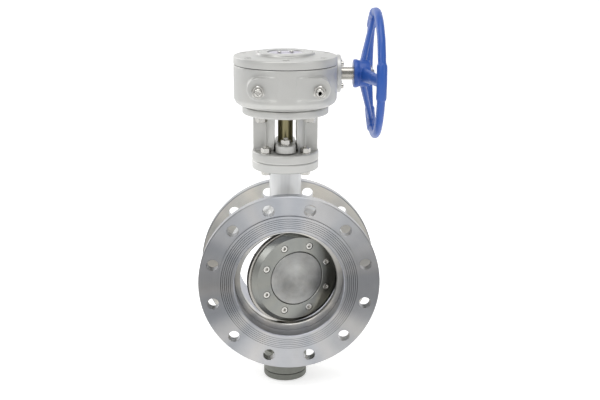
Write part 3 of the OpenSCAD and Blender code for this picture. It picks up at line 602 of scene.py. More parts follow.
def ground_metal(name, colour, roughness, stretch, metallic=1.0, mottle=0.1):
    """Ground, plated or pressed stock: scratches drawn out along one axis over a mottled colour."""
    material, tree, shader = new_material(name, "Metal", {"Metallic": metallic})
    add = partial(add_node, tree)

    point = add("ShaderNodeTexCoord", "Place on the part")
    draw = add("ShaderNodeMapping", "Draw the scratches out", {"Scale": stretch})
    scratch = add("ShaderNodeTexNoise", "Scratches", {"Scale": 420, "Detail": 3.0})
    bump = add("ShaderNodeBump", "Depth of the scratches", {"Strength": 0.15, "Distance": 0.0001})
    frame_nodes(tree, "Scratches", [point, draw, scratch, bump], 300)

    stain = add("ShaderNodeTexNoise", "Stains", {"Scale": 60, "Detail": 5.0})
    tone = add("ShaderNodeMix", "Mottled colour",
               {"A": (*[c * (1 - 1.6 * mottle) for c in colour], 1),
                "B": (*[min(1.0, c * (1 + mottle)) for c in colour], 1)}, data_type="RGBA")
    rough = add("ShaderNodeMapRange", "Uneven polish",
                {"To Min": max(0.05, roughness - 0.08), "To Max": roughness + 0.1})
    frame_nodes(tree, "Colour and polish", [stain, tone, rough], 0)

    link_up(tree, (
        (point, "Object", draw, "Vector"),
        (draw, "Vector", scratch, "Vector"),
        (scratch, "Fac", bump, "Height"),
        (bump, "Normal", shader, "Normal"),
        (point, "Object", stain, "Vector"),
        (stain, "Fac", tone, "Factor"),
        (tone, "Result", shader, "Base Color"),
        (scratch, "Fac", rough, "Value"),
        (rough, "Result", shader, "Roughness"),
    ))
    return material


FINISH = {}


def make_finishes(colours):
    """All finishes, by the record's slot names, with a few more for regions of one piece."""
    pipe = (-math.pi / 2, 0, 0)
    disc_turn = with_disc(on_pipe()).to_euler()
    disc_centre = with_disc(Matrix.Translation((0, 0, 0))).translation
    coat = tuple(colours.coat)
    plating = tuple(colours.plating)
    FINISH["machined_steel"] = turned_steel(
        "face_turned_steel", tuple(colours.turned), (0, 0, 0), pipe, 1400, 0.34)
    # A lighter, less metallic copy of the turned steel: painted light on the flanges' inner faces, which lie in
    # shade between the flanges.
    FINISH["back_steel_painted_light"] = turned_steel("back_faced_steel", (0.8, 0.78, 0.73), (0, 0, 0), pipe,
                                        1100, 0.5)
    FINISH["back_steel_painted_light"].node_tree.nodes["Principled BSDF"].inputs["Metallic"].default_value = 0.55
    FINISH["bore_steel"] = ground_metal("bored_steel", (0.46, 0.47, 0.51), 0.42, (1, 6, 1))
    # A lighter copy of the silver coat: painted light on the barrel and neck, which lie in shade between the
    # flanges.
    FINISH["neck_coat"] = cast_coat("neck_coat", (0.85, 0.86, 0.87), 0.34, 0.3, 0.25)
    FINISH["seat_steel"] = turned_steel("seat_steel", (0.55, 0.54, 0.51), (0, 0, 0), pipe, 2200,
                                        0.34)
    FINISH["silver_paint"] = cast_coat("silver_coat", coat, 0.42, 0.55, 0.35)
    FINISH["olive_coat"] = cast_coat("olive_coat", (0.17, 0.175, 0.155), 0.45, 0.5, 0.4)
    FINISH["disc_steel"] = turned_steel(
        "disc_turned_steel", tuple(colours.disc), disc_centre, disc_turn, 1900, 0.3, 0.03, 0.12)
    FINISH["boss_steel"] = turned_steel(
        "disc_boss_steel", (0.31, 0.31, 0.3), disc_centre, disc_turn, 900, 0.36, 0.02, 0.05, 0.45)
    FINISH["blue_enamel"] = cast_coat("blue_enamel", tuple(colours.enamel), 0.42, 0.0, 0.12, 0.2)
    FINISH["stem_steel"] = ground_metal("olive_stem_steel", tuple(colours.stem), 0.3, (1, 1, 9))
    FINISH["bright_steel"] = ground_metal("ground_bright_steel", (0.42, 0.405, 0.375), 0.27,
                                          (9, 1, 1))
    FINISH["zinc_fastener"] = ground_metal("bright_plating", plating, 0.24, (1, 1, 1))
    FINISH["bronze"] = ground_metal("bearing_bronze", (0.52, 0.33, 0.13), 0.33, (1, 1, 7))
    FINISH["graphite"] = ground_metal("pressed_graphite", (0.02, 0.02, 0.022), 0.5, (1, 1, 5), 0.1,
                                      0.3)
    FINISH["black_rubber"] = ground_metal("black_rubber", (0.012, 0.012, 0.012), 0.6, (1, 1, 1),
                                          0.0, 0.2)
    FINISH["indicator_metal"] = ground_metal("indicator_plate_metal", (0.62, 0.6, 0.67), 0.32,
                                             (1, 5, 1))


class VALVE_OT_finish_cad_nodes(bpy.types.Operator):
    """Gives every CAD node its finish"""

    bl_idname = "valve.finish_cad_nodes"
    bl_label = "Finish CAD nodes"

    def execute(self, context):
        make_finishes(context.scene.valve_colours)
        slots = {part["node"]: part["material_slot"] for part in frame["record"]["subparts"]}
        for name, node in frame["nodes"].items():
            for holder in node.material_slots:
                holder.material = FINISH[slots[name]]
        frame["nodes"]["disc_plate"].material_slots[0].material = FINISH["boss_steel"]
        return {"FINISHED"}


# ---- Repeated fasteners ----


def fastener_ring_tree():
    """Geometry nodes that set copies of one fastener out on an arc."""
    tree = bpy.data.node_groups.new("Fastener ring", "GeometryNodeTree")
    face = tree.interface
    face.new_socket("Geometry", in_out="INPUT", socket_type="NodeSocketGeometry")
    wanted = [("Fastener", "NodeSocketObject"), ("Count", "NodeSocketInt"),
              ("Circle Radius", "NodeSocketFloat"),
              ("First Angle", "NodeSocketFloat"), ("Step Angle", "NodeSocketFloat"),
              ("Twist", "NodeSocketFloat"),
              ("Centre", "NodeSocketVector"), ("Turn", "NodeSocketVector"),
              ("Finish", "NodeSocketMaterial")]
    for label, kind in wanted:
        face.new_socket(label, in_out="INPUT", socket_type=kind)
    face.new_socket("Geometry", in_out="OUTPUT", socket_type="NodeSocketGeometry")
    add = partial(add_node, tree)
    given = add("NodeGroupInput", "Sizes")
    points = add("GeometryNodePoints", "One point for each fastener")
    index = add("GeometryNodeInputIndex", "Number of the fastener")
    angle = add("ShaderNodeMath", "Angle on the circle", operation="MULTIPLY_ADD")
    arm = add("ShaderNodeCombineXYZ", "Arm of the circle")
    swing = add("ShaderNodeVectorRotate", "Swing the arm round", rotation_type="Z_AXIS")
    spread = add("GeometryNodeSetPosition", "Spread the points")
    twist = add("FunctionNodeRandomValue", "How far each is tightened", {"Seed": 7},
                data_type="FLOAT")
    spin = add("ShaderNodeCombineXYZ", "Spin on its own axis")
    source = add("GeometryNodeObjectInfo", "Fastener")
    place = add("GeometryNodeInstanceOnPoints", "Set the fasteners out")
    real = add("GeometryNodeRealizeInstances", "Make them real")
    carry = add("GeometryNodeTransform", "Carry to the joint")
    paint = add("GeometryNodeSetMaterial", "Finish")
    out = add("NodeGroupOutput", "Fasteners")
    row = [given, points, index, angle, arm, swing, spread, twist, spin, source, place, real, carry,
           paint, out]
    for i, node in enumerate(row):
        node.location = (i * 190, (i % 3) * -160)
    link_up(tree, (
        (given, "Count", points, "Count"),
        (index, "Index", angle, 0),
        (given, "Step Angle", angle, 1),
        (given, "First Angle", angle, 2),
        (given, "Circle Radius", arm, "X"),
        (arm, "Vector", swing, "Vector"),
        (angle, "Value", swing, "Angle"),
        (points, "Points", spread, "Geometry"),
        (swing, "Vector", spread, "Position"),
        (given, "Twist", twist, "Max"),
        (twist, "Value", spin, "Z"),
        (given, "Fastener", source, "Object"),
        (spread, "Geometry", place, "Points"),
        (source, "Geometry", place, "Instance"),
        (spin, "Vector", place, "Rotation"),
        (place, "Instances", real, "Geometry"),
        (real, "Geometry", carry, "Geometry"),
        (given, "Turn", carry, "Rotation"),
        (given, "Centre", carry, "Translation"),
        (carry, "Geometry", paint, "Geometry"),
        (given, "Finish", paint, "Material"),
        (paint, "Geometry", out, "Geometry"),
    ))
    return tree


def set_out(name, fastener, radius, place, finish, twist=0.0, count=4, first=45, step=90):
    """Copies of a fastener on a circle as one plain mesh. Angles are in degrees.

    twist is the most that one is turned on its own axis, in radians."""
    tree = bpy.data.node_groups.get("Fastener ring") or fastener_ring_tree()
    obj = bpy.data.objects.new(name, bpy.data.meshes.new(name))
    bpy.context.scene.collection.objects.link(obj)
    modifier = obj.modifiers.new("Fastener ring", "NODES")
    modifier.node_group = tree
    values = {
        "Fastener": fastener, "Count": count, "Circle Radius": radius,
        "First Angle": math.radians(first),
        "Step Angle": math.radians(step), "Twist": twist, "Centre": place.translation,
        "Turn": Vector(place.to_euler()), "Finish": finish}
    for socket in tree.interface.items_tree:
        if socket.in_out == "INPUT" and socket.name in values:
            modifier[socket.identifier] = values[socket.name]
    settle(obj)
    bpy.data.objects.remove(fastener)
    return round_shading(obj, 28)


def hex_part(name, flats, height, bore=0.0, chamfers=2):
    """Hexagon head or nut with turned chamfers, its foot at the origin."""
    bm = bmesh.new()
    add_prism(bm, hexagon(flats), UPRIGHT, 0, height)
    body = to_object(bm, name)
    corner = flats / 2 / math.cos(math.pi / 6)
    reach, slope = 0.16, 0.55
    bevel = reach * flats * slope
    low = bevel if chamfers == 2 else 0
    inside = flats / 2 * 0.96
    profile = [(0, 0), (inside if low else corner + MM, 0), (corner + 0.1 * MM, low),
               (corner + 0.1 * MM, height - bevel), (inside, height), (0, height)]
    bm = bmesh.new()
    add_turned(bm, profile, UPRIGHT, 72)
    shape_with(body, to_object(bm, "chamfer"), "INTERSECT")
    if bore:
        lead = 0.6 * MM
        bm = bmesh.new()
        add_turned(bm, [(0, -MM), (bore + lead + MM, -MM), (bore, lead), (bore, height - lead),
                        (bore + lead + MM, height + MM), (0, height + MM)], UPRIGHT, 48)
        shape_with(body, to_object(bm, "bore"), "DIFFERENCE")
    return body


def add_object(bm, obj):
    """Moves an object's mesh into a bmesh."""
    bm.from_mesh(obj.data)
    bpy.data.objects.remove(obj)


def socket_screw(name, head, height, socket, shank, length, countersunk=False):
    """Socket screw along Z: the head's outer face at the origin, the shank running down from it.

    Sizes are in millimetres, and the socket's is across its flats."""
    depth, flare = 0.62, 1.16
    bm = bmesh.new()
    if countersunk:
        profile = outline([(0, 0), (head, 0, 0.3), (head, -0.4), (shank, -height),
                           (shank, -length, 0.8), (0, -length)])
    else:
        profile = outline([(0, 0), (head, 0, 0.8), (head, -height, 0.3), (shank, -height),
                           (shank, -length, 0.8), (0, -length)])
    add_turned(bm, profile, UPRIGHT, 64)
    body = to_object(bm, name)
    bm = bmesh.new()
    add_prism(bm, hexagon(socket * MM), UPRIGHT, -depth * height * MM, MM)
    shape_with(body, to_object(bm, "socket"), "DIFFERENCE")
    bm = bmesh.new()
    lip = socket / 2 * flare
    add_turned(bm, outline([(0, -0.45), (lip - 0.45, -0.45), (lip + 0.55, 0.55), (0, 0.55)]),
               UPRIGHT, 48)
    return shape_with(body, to_object(bm, "lead-in"), "DIFFERENCE")


def washer(name, outer, inner, thickness):
    """Plain washer with rounded edges, its foot at the origin. Sizes are in millimetres."""
    bm = bmesh.new()
    profile = outline([(inner, 0, 0.25), (outer, 0, 0.3), (outer, thickness, 0.45),
                       (inner, thickness, 0.25)])
    add_turned(bm, profile, UPRIGHT, 72)
    return to_object(bm, name)


def fit_ring(node, name, fastener, radius, place, twist=0.0, **ring):
    """Sets a plated fastener of the valve out as the piece that stands for a CAD node."""
    finish = FINISH["zinc_fastener"]
    copies = set_out(name, fastener, radius, place, finish, twist, **ring)
    finish_piece(copies, "valve", "zinc_fastener", finish, node)


def bolt_head(flats, height):
    """Mesh of a hexagon head whose chamfered end faces down, its foot at its height."""
    bm = bmesh.new()
    add_object(bm, hex_part("head", flats, height, chamfers=1))
    for v in bm.verts:
        v.co.z = height - v.co.z
    return bm


class VALVE_OT_neck_fasteners(bpy.types.Operator):
    """Bolts, washers and nuts that clamp the yoke to the neck"""

    bl_idname = "valve.neck_fasteners"
    bl_label = "Neck fasteners"

    def execute(self, context):
        low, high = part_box("yoke_bolts")
        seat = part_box("yoke_washers")[0].z
        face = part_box("yoke_nuts")[0].z
        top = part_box("yoke_nuts")[1].z
        head = 6.4 * MM
        bm = bolt_head(16 * MM, head)
        add_rod(bm, UPRIGHT, 4.9 * MM, head * 0.9, seat - low.z)
        add_thread(bm, UPRIGHT, 4.95 * MM, seat - low.z - MM, high.z - low.z, 1.5 * MM)
        fit_ring("yoke_bolts", "neck_bolts", to_object(bm, "bolt"), NECK_CIRCLE, on_stem(low.z),
                 1.0)
        fit_ring("yoke_nuts", "neck_nuts", hex_part("nut", 17 * MM, top - face, 4.55 * MM),
                 NECK_CIRCLE, on_stem(face), 1.0)
        ring = washer("washer", 9.5, 5.3, 1.6)
        fit_ring("yoke_washers", "neck_washers", ring, NECK_CIRCLE, on_stem(seat))
        return {"FINISHED"}


class VALVE_OT_gearbox_fasteners(bpy.types.Operator):
    """Bolts and washers that hold the gear housing on the yoke"""

    bl_idname = "valve.gearbox_fasteners"
    bl_label = "Gearbox fasteners"

    def execute(self, context):
        low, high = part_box("gearbox_bolts")
        foot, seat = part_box("gearbox_washers")[0].z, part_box("gearbox_washers")[1].z
        bm = bolt_head(19 * MM, foot - low.z)
        add_thread(bm, UPRIGHT, 5.9 * MM, foot - low.z - MM, high.z - low.z, 1.75 * MM)
        fit_ring("gearbox_bolts", "gearbox_hex_bolts", to_object(bm, "bolt"), GEARBOX_CIRCLE,
                 on_stem(low.z), 1.0)
        fit_ring("gearbox_washers", "gearbox_plain_washers",
                 washer("washer", 11.5, 6.3, (seat - foot) / MM), GEARBOX_CIRCLE, on_stem(foot))
        return {"FINISHED"}


class VALVE_OT_gland(bpy.types.Operator):
    """Gland flange with its studs, washers and nuts"""

    bl_idname = "valve.gland"
    bl_label = "Gland"

    def execute(self, context):
        sizes = context.scene.valve_castings
        follower = cast(node_mesh("gland_flange"), "gland_follower", 0.8 * MM, 3, sizes.lump * 0.5)
        round_shading(follower, 45)
        finish_piece(follower, "valve", "silver_paint", FINISH["silver_paint"], "gland_flange")

        low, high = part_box("gland_studs")
        bm = bmesh.new()
        add_thread(bm, UPRIGHT, 4.95 * MM, 0, high.z - low.z, 1.5 * MM)
        fit_ring("gland_studs", "gland_threaded_studs", to_object(bm, "stud"), GLAND_CIRCLE,
                 on_stem(low.z), **PAIR)
        low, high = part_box("gland_nuts")
        fit_ring("gland_nuts", "gland_hex_nuts",
                 hex_part("nut", 16 * MM, high.z - low.z, 4.55 * MM), GLAND_CIRCLE, on_stem(low.z),
                 0.6, **PAIR)
        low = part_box("gland_washers")[0]
        fit_ring("gland_washers", "gland_plain_washers", washer("washer", 9, 5.3, 1.6),
                 GLAND_CIRCLE, on_stem(low.z), **PAIR)
        return {"FINISHED"}


class VALVE_OT_disc_screws(bpy.types.Operator):
    """Socket screws that hold the retaining ring on the disc"""

    bl_idname = "valve.disc_screws"
    bl_label = "Disc screws"

    def execute(self, context):
        finish = FINISH["zinc_fastener"]
        screw = socket_screw("screw", head=6.5, height=7.5, socket=6, shank=4, length=26)
        place = with_disc(on_pipe(DISC_RING_FACE)) @ Matrix.Rotation(math.pi, 4, "X")
        screws = set_out("retaining_socket_screws", screw, DISC_CIRCLE, place, finish, 1.0, count=8,
                         first=22.5, step=45)
        finish_piece(screws, "disc", "bright_steel", finish, "retaining_screws")
        return {"FINISHED"}


class VALVE_OT_cover_screws(bpy.types.Operator):
    """Screws of the gear cover, the bearing cover and the bottom cover"""

    bl_idname = "valve.cover_screws"
    bl_label = "Cover screws"

    def execute(self, context):
        coat = FINISH["silver_paint"]
        low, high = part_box("gear_cover_screws")
        length = (high.z - low.z) / MM
        bm = bmesh.new()
        rows = (("cover_countersunk_screws", 4, 160, 55), ("cover_single_screw", 1, 20, 0))
        parts = []
        for name, count, first, step in rows:
            screw = socket_screw(
                "screw", head=6, height=3.4, socket=4, shank=3, length=length, countersunk=True)
            parts.append(set_out(name, screw, COVER_CIRCLE, on_stem(high.z), coat, 1.0, count,
                                 first, step))
        for part in parts:
            add_object(bm, part)
        screws = round_shading(to_object(bm, "cover_countersunk_screws"), 28)
        finish_piece(screws, "valve", "silver_paint", coat, "gear_cover_screws")

        low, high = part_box("bearing_cover_screws")
        screw = socket_screw("screw", head=5, height=5, socket=5, shank=3,
                             length=(high.x - low.x) / MM)
        fit_ring("bearing_cover_screws", "bearing_cover_cap_screws", screw, BEARING_CIRCLE,
                 on_shaft(high.x), 1.0)

        low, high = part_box("bottom_cover_screws")
        screw = socket_screw("screw", head=6.5, height=7.5, socket=6, shank=4,
                             length=(high.z - low.z) / MM)
        place = on_stem(low.z) @ Matrix.Rotation(math.pi, 4, "X")
        fit_ring("bottom_cover_screws", "bottom_cover_cap_screws", screw, BOTTOM_CIRCLE, place, 1.0)
        return {"FINISHED"}


class VALVE_OT_stop_screws(bpy.types.Operator):
    """Threaded stop screws with their lock nuts"""

    bl_idname = "valve.stop_screws"
    bl_label = "Stop screws"

    def execute(self, context):
        finish = FINISH["zinc_fastener"]
        corners = [v.co for v in frame["nodes"]["stop_screws"].data.vertices]
        front = min(c.y for c in corners)
        height = middle("stop_screws").z
        nut_low, nut_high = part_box("stop_lock_nuts")
        radius = 7 * MM
        rods, nuts = bmesh.new(), bmesh.new()
        for side in (-1, 1):
            mine = [c for c in corners if (c.x - STEM.x) * side > 0]
            across = (min(c.x for c in mine) + max(c.x for c in mine)) / 2
            tip = max(c.y for c in mine)
            place = Matrix.Translation((across, front, height)) @ Matrix.Rotation(-math.pi / 2, 4,
                                                                                  "X")
            rod = bmesh.new()
            add_thread(rod, place, radius * 0.99, 0, tip - front, 2 * MM, steps=32)
            screw = to_object(rod, "screw")
            socket = bmesh.new()
            turn = Matrix.Rotation(math.radians(20 * side), 4, "Z")
            add_prism(socket, hexagon(6 * MM), place @ turn, -MM, 6 * MM)
            add_turned(socket, outline([(0, -1), (4.6, -1), (2.9, 0.7), (0, 0.7)]), place, 48)
            add_object(rods, shape_with(screw, to_object(socket, "socket"), "DIFFERENCE"))
            nut = hex_part("nut", 21 * MM, nut_high.y - nut_low.y, radius * 0.95)
            seat = Matrix.Translation((across, nut_low.y, height)) @ Matrix.Rotation(-math.pi / 2,
                                                                                     4, "X")
            nut.data.transform(seat @ Matrix.Rotation(math.radians(30 + 8 * side), 4, "Z"))
            add_object(nuts, nut)
        screws = round_shading(to_object(rods, "stop_threaded_screws"), 50)
        finish_piece(screws, "valve", "zinc_fastener", finish, "stop_screws")
        nuts = round_shading(to_object(nuts, "stop_hex_lock_nuts"), 28)
        finish_piece(nuts, "valve", "zinc_fastener", finish, "stop_lock_nuts")
        return {"FINISHED"}


# ---- Castings ----


class VALVE_OT_pipe_body(bpy.types.Operator):
    """Valve body with its turned flanges, bored way and coated barrel and neck; lighter copies of the finishes
    paint light on the barrel, neck and the flanges' inner faces
    """

    bl_idname = "valve.pipe_body"
    bl_label = "Pipe body"

    def region(self, centre):
        """Finish of the body's skin at a face's centre."""
        out = math.hypot(centre.x, centre.z)
        from_stem = math.hypot(centre.x - STEM.x, centre.y - STEM.y)
        depth = min(centre.y, PIPE_LENGTH - centre.y)
        if centre.z > BODY_TOP - NECK_FLANGE_T:
            return "silver_paint"
        if out < BORE_R:
            return "bore_steel"
        # The flanges' inner faces take the lighter copy of the turned steel, painted light.
        if FLANGE_T - 0.1 * MM < depth < FLANGE_T + 0.1 * MM:
            return "back_steel_painted_light"
        if depth < FLANGE_T:
            return "machined_steel"
        if centre.z < 0 and from_stem < TRUNNION_REACH and out > BARREL_R:
            return "olive_coat"
        # The barrel and neck take the lighter copy of the coat, painted light.
        return "neck_coat"

    def execute(self, context):
        regions = ("machined_steel", "bore_steel", "neck_coat", "olive_coat", "silver_paint",
                   "back_steel_painted_light")
        body = bpy.data.objects.new("pipe_body", frame["nodes"]["valve_body"].data.copy())
        context.scene.collection.objects.link(body)
        finish_piece(body, "valve", "machined_steel", FINISH["machined_steel"], "valve_body")
        for extra in regions[1:]:
            body.data.materials.append(FINISH[extra])
        for face in body.data.polygons:
            face.material_index = regions.index(self.region(face.center))
        return {"FINISHED"}


class VALVE_OT_handwheel(bpy.types.Operator):
    """Handwheel casting with three spokes blended into rim and hub"""

    bl_idname = "valve.handwheel"
    bl_label = "Handwheel"

    def execute(self, context):
        sizes, castings = context.scene.valve_wheel, context.scene.valve_castings
        low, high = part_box("handwheel")
        hub_face, rim_x = low.x, high.x - sizes.joint_section
        hub_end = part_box("handwheel_washer")[0].x
        spokes = [math.radians(a) for a in (-90, 30, 150)]
        bm = bmesh.new()

        rings, around, section_steps, joint_fade = [], 240, 24, math.radians(1.6)
        for i in range(around):
            turn = 2 * math.pi * i / around
            off = min(abs((turn - s + math.pi) % (2 * math.pi) - math.pi) for s in spokes)
            share = min(1.0, max(0.0, (sizes.joint_span / 2 - off) / joint_fade + 0.5))
            section = sizes.rim_section + (sizes.joint_section - sizes.rim_section) * share
            ring = []
            for k in range(section_steps):
                t = 2 * math.pi * k / section_steps
                r = sizes.rim_radius + section * math.cos(t)
                ring.append(bm.verts.new(on_shaft(rim_x) @ Vector(
                    (r * math.cos(turn), r * math.sin(turn), section * math.sin(t)))))
            rings.append(ring)
        for i in range(around):
            here, following = rings[i], rings[(i + 1) % around]
            for k in range(section_steps):
                j = (k + 1) % section_steps
                bm.faces.new([here[k], here[j], following[j], following[k]])

        for angle in spokes:
            place = on_shaft() @ Matrix.Rotation(angle, 4, "Z")
            stations, spoke_steps, foot_gap, rib_width = 12, 20, 18 * MM, 0.16
            flare_start, flare = 0.85, 0.25
            loops = []
            for n in range(stations + 1):
                f = n / stations
                out = 16 * MM + f * (sizes.rim_radius - foot_gap)
                along = hub_face + foot_gap + f * (rim_x - hub_face - foot_gap)
                wide = (14 - 3 * f) * MM * (1 + flare * max(0, f - flare_start) / 0.15)
                thick = (7 - 1.5 * f) * MM
                loop = []
                for k in range(spoke_steps):
                    t = 2 * math.pi * k / spoke_steps
                    rib = sizes.rib * math.exp(-((math.cos(t / 2 + math.pi / 4) / rib_width) ** 2))
                    loop.append(bm.verts.new(place @ Vector(
                        (out, wide * math.cos(t), along + thick * math.sin(t) - rib))))
                loops.append(loop)
            for near, far in zip(loops, loops[1:]):
                for k in range(spoke_steps):
                    j = (k + 1) % spoke_steps
                    bm.faces.new([near[k], near[j], far[j], far[k]])
            bm.faces.new(loops[0])
            bm.faces.new(loops[-1])

        hub_length = (hub_end - hub_face) / MM
        hub = outline([
            (0, 0), (27, 0, 1.5), (27, 8, 2), (25, 9, 1), (25, hub_length, 2), (0, hub_length)])
        add_turned(bm, hub, on_shaft(hub_face), 96)
        wheel = cast(bm, "handwheel_casting", castings.grain * 0.9, castings.soften,
                     castings.lump * 1.4)
        cutters = bmesh.new()
        add_rod(cutters, on_shaft(), 12.05 * MM, hub_face - MM, hub_end + MM, 72)
        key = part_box("handwheel_key")
        add_prism(cutters, box_points(key[0].y, key[1].y, SHAFT.z, key[1].z + 0.3 * MM),
                  Matrix(((0, 0, 1, 0), (1, 0, 0, 0), (0, 1, 0, 0), (0, 0, 0, 1))), hub_face - MM,
                  hub_end + MM)
        shape_with(wheel, to_object(cutters, "bore"), "DIFFERENCE")
        round_shading(wheel, 55)
        finish_piece(wheel, "handwheel", "blue_enamel", FINISH["blue_enamel"], "handwheel")
        return {"FINISHED"}


class VALVE_OT_gear_housing(bpy.types.Operator):
    """Gear housing casting with its worm tunnel and stop bosses"""

    bl_idname = "valve.gear_housing"
    bl_label = "Gear housing"

    def execute(self, context):
        sizes = context.scene.valve_castings
        housing = cast(node_mesh("gear_housing"), "gear_housing_casting", sizes.grain, sizes.soften,
                       sizes.lump)
        round_shading(housing, 50)
        finish_piece(housing, "valve", "silver_paint", FINISH["silver_paint"], "gear_housing")
        return {"FINISHED"}


class VALVE_OT_gear_cover(bpy.types.Operator):
    """Gear cover with its crowned top, raised boss and indicator recess"""

    bl_idname = "valve.gear_cover"
    bl_label = "Gear cover"

    def execute(self, context):
        low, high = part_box("gear_cover")
        r = (high.x - low.x) / 2 / MM
        base, boss = low.z / MM, high.z / MM
        profile = outline([
            (20.05, base), (34, base), (34, base + 8, 1), (74, base + 8, 1), (74, base),
            (r, base, 0.5),
            (r, base + 14.7, 2.2), (54.5 + 5, boss - 4.7, 2), (54.5, boss - 4, 1.2),
            (53.5, boss, 1.2),
            (51, boss, 0.4), (50.2, boss - 2, 0.3), (49.4, boss, 0.4), (34, boss, 0.8),
            (33, boss - 4), (20.05, boss - 4)])
        bm = bmesh.new()
        add_turned(bm, profile, on_stem(), 192)
        cover = to_object(bm, "gear_cover_turning")
        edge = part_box("gear_cover_screws")[1].z / MM
        cutters = bmesh.new()
        for angle in COVER_SCREW_ANGLES:
            arm = on_ring(on_stem(), angle, COVER_CIRCLE)
            add_turned(cutters,
                       outline([(0, base - 1), (3.4, base - 1), (3.4, edge - 3.7),
                                (6.4, edge - 0.6),
                                         (6.4, edge + 6), (0, edge + 6)]), arm, 48)
        shape_with(cover, to_object(cutters, "countersinks"), "DIFFERENCE")
        round_shading(cover, 28)
        finish_piece(cover, "valve", "silver_paint", FINISH["silver_paint"], "gear_cover")
        return {"FINISHED"}


class VALVE_OT_yoke(bpy.types.Operator):
    """Yoke casting: two flanges joined by a split tube and two flat webs"""

    bl_idname = "valve.yoke"
    bl_label = "Yoke"

    def execute(self, context):
        sizes = context.scene.valve_castings
        yoke = cast(node_mesh("yoke"), "yoke_casting", sizes.grain, sizes.soften, sizes.lump)
        round_shading(yoke, 50)
        finish_piece(yoke, "valve", "silver_paint", FINISH["silver_paint"], "yoke")
        return {"FINISHED"}


class VALVE_OT_covers(bpy.types.Operator):
    """Bottom cover with its counterbores"""

    bl_idname = "valve.covers"
    bl_label = "Covers"

    def execute(self, context):
        low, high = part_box("bottom_cover")
        r, face = (high.x - low.x) / 2 / MM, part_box("bottom_gasket")[0].z
        bm = bmesh.new()
        tall = (high.z - low.z) / MM
        lid = (face - low.z) / MM
        add_turned(bm,
                   outline([(0, 0), (r, 0, 2.5), (r, lid, 1), (18.9, lid), (18.9, tall, 0.6),
                            (0, tall)]),
                   on_stem(low.z), 128)
        cover = to_object(bm, "bottom_cover_turning")
        cutters = bmesh.new()
        for angle in SQUARE_ANGLES:
            arm = on_ring(on_stem(low.z), angle, BOTTOM_CIRCLE)
            add_turned(cutters,
                       outline([(0, -1), (7, -1), (7, 8), (4.5, 8), (4.5, lid + 1), (0, lid + 1)]),
                       arm, 48)
        shape_with(cover, to_object(cutters, "counterbores"), "DIFFERENCE")
        round_shading(cover, 28)
        finish_piece(cover, "valve", "silver_paint", FINISH["olive_coat"], "bottom_cover")
        return {"FINISHED"}


# ---- Stage ----


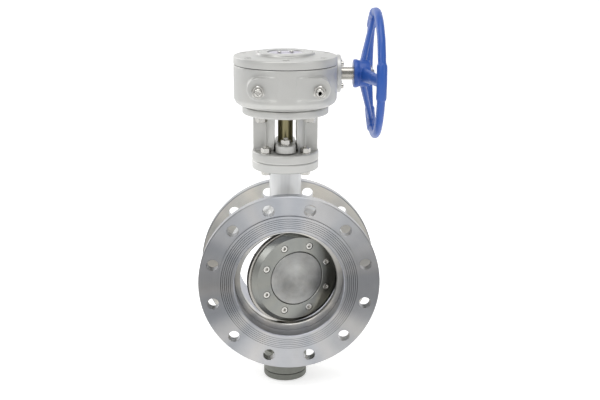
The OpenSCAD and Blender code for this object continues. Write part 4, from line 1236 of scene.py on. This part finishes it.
class VALVE_OT_stage(bpy.types.Operator):
    """Camera, floor, backdrop and soft studio light"""

    bl_idname = "valve.stage"
    bl_label = "Stage"

    def execute(self, context):
        stage = context.scene.valve_stage
        scene = context.scene
        lens = bpy.data.cameras.new("Camera")
        lens.lens, lens.sensor_width = stage.lens, 36
        lens.clip_start, lens.clip_end = 0.05, 50
        camera = bpy.data.objects.new("Camera", lens)
        scene.collection.objects.link(camera)
        forward = Vector((math.sin(stage.yaw) * math.cos(stage.pitch),
                          math.cos(stage.yaw) * math.cos(stage.pitch),
                          -math.sin(stage.pitch)))
        turn = forward.to_track_quat("-Z", "Y").to_matrix().to_4x4() @ Matrix.Rotation(stage.roll,
                                                                                       4, "Z")
        camera.matrix_world = Matrix.Translation(stage.camera_place) @ turn
        scene.camera = camera

        sweep = bmesh.new()
        floor = CAD_LOW.z - 0.5 * MM
        depth, rise, bend = 3.0, 4.0, 1.2
        line = [(-4.0, 0.0), (depth - bend, 0.0)]
        line += [(depth - bend + bend * math.sin(a), bend - bend * math.cos(a))
                 for a in (math.pi / 2 * k / 24 for k in range(1, 25))]
        line.append((depth, rise))
        sides = [[sweep.verts.new((x, y, floor + z)) for y, z in line] for x in (-6, 6)]
        for i in range(len(line) - 1):
            sweep.faces.new([sides[0][i], sides[1][i], sides[1][i + 1], sides[0][i + 1]])
        backdrop = round_shading(to_object(sweep, "backdrop"), 60)
        pale = new_material("pale_paper", "Pale paper", {
            "Base Color": (0.9, 0.9, 0.9, 1), "Roughness": 0.9,
            "Emission Color": (1, 1, 1, 1), "Emission Strength": 0.45})[0]
        backdrop.data.materials.append(pale)

        world = bpy.data.worlds.new("Studio")
        scene.world = world
        world.use_nodes = True
        tree = world.node_tree
        add = partial(add_node, tree)
        sky = tree.nodes["Background"]
        sky.label = "Even light all round"
        sky.inputs["Color"].default_value = (1, 1, 1, 1)
        sky.inputs["Strength"].default_value = stage.world
        seen = add("ShaderNodeBackground", "White beyond the floor",
                        {"Color": (1, 1, 1, 1)}, location=(-300, -200))
        ray = add("ShaderNodeLightPath", "Kind of ray", location=(-300, 300))
        choose = add("ShaderNodeMixShader", "Light or backdrop")
        link_up(tree, (
            (ray, "Is Camera Ray", choose, "Fac"),
            (sky, "Background", choose, 1),
            (seen, "Background", choose, 2),
            (choose, "Shader", tree.nodes["World Output"], "Surface"),
        ))
        aim = Vector((0, 0.07, 0.15))
        for name, place, size, share in (
                ("Key", (-1.3, -1.5, 1.7), 1.1, 1.0), ("Fill", (1.6, -1.4, 1.1), 1.2, 0.45),
                ("Top", (0.1, -0.2, 2.1), 1.3, 0.9), ("Back left", (-1.5, 1.3, 1.0), 1.0, 0.5)):
            light = bpy.data.lights.new(name, "AREA")
            light.shape, light.size = "SQUARE", size
            light.energy = stage.key * share
            lamp = bpy.data.objects.new(name, light)
            scene.collection.objects.link(lamp)
            lamp.matrix_world = (Matrix.Translation(place)
                                 @ (aim - Vector(place)).to_track_quat("-Z",
                                                                       "Y").to_matrix().to_4x4())
        scene.view_settings.view_transform = "Standard"
        return {"FINISHED"}


class VALVE_PT_panel(bpy.types.Panel):
    """Buttons of the valve's pieces"""

    bl_label = "Butterfly valve"
    bl_idname = "VALVE_PT_panel"
    bl_space_type = "VIEW_3D"
    bl_region_type = "UI"
    bl_category = "Valve"

    def draw(self, context):
        for step in STEPS:
            self.layout.operator(step.bl_idname)


GROUPS = {
    "valve_castings": ValveCastingSizes,
    "valve_wheel": ValveWheelSizes,
    "valve_colours": ValveColours,
    "valve_stage": ValveStage,
}
STEPS = (
    VALVE_OT_stage, VALVE_OT_finish_cad_nodes, VALVE_OT_pipe_body, VALVE_OT_yoke,
    VALVE_OT_gear_housing,
    VALVE_OT_gear_cover, VALVE_OT_covers, VALVE_OT_handwheel, VALVE_OT_neck_fasteners,
    VALVE_OT_gearbox_fasteners, VALVE_OT_gland, VALVE_OT_stop_screws, VALVE_OT_disc_screws,
    VALVE_OT_cover_screws,
)


def register():
    for group in GROUPS.values():
        bpy.utils.register_class(group)
    for name, group in GROUPS.items():
        setattr(bpy.types.Scene, name, PointerProperty(type=group))
    for step in STEPS:
        bpy.utils.register_class(step)
    bpy.utils.register_class(VALVE_PT_panel)


def unregister():
    bpy.utils.unregister_class(VALVE_PT_panel)
    for step in reversed(STEPS):
        bpy.utils.unregister_class(step)
    for name, group in reversed(GROUPS.items()):
        delattr(bpy.types.Scene, name)
        bpy.utils.unregister_class(group)


def main():
    register()
    for step in STEPS:
        group, name = step.bl_idname.split(".")
        getattr(getattr(bpy.ops, group), name)()


if __name__ == "__main__":
    main()
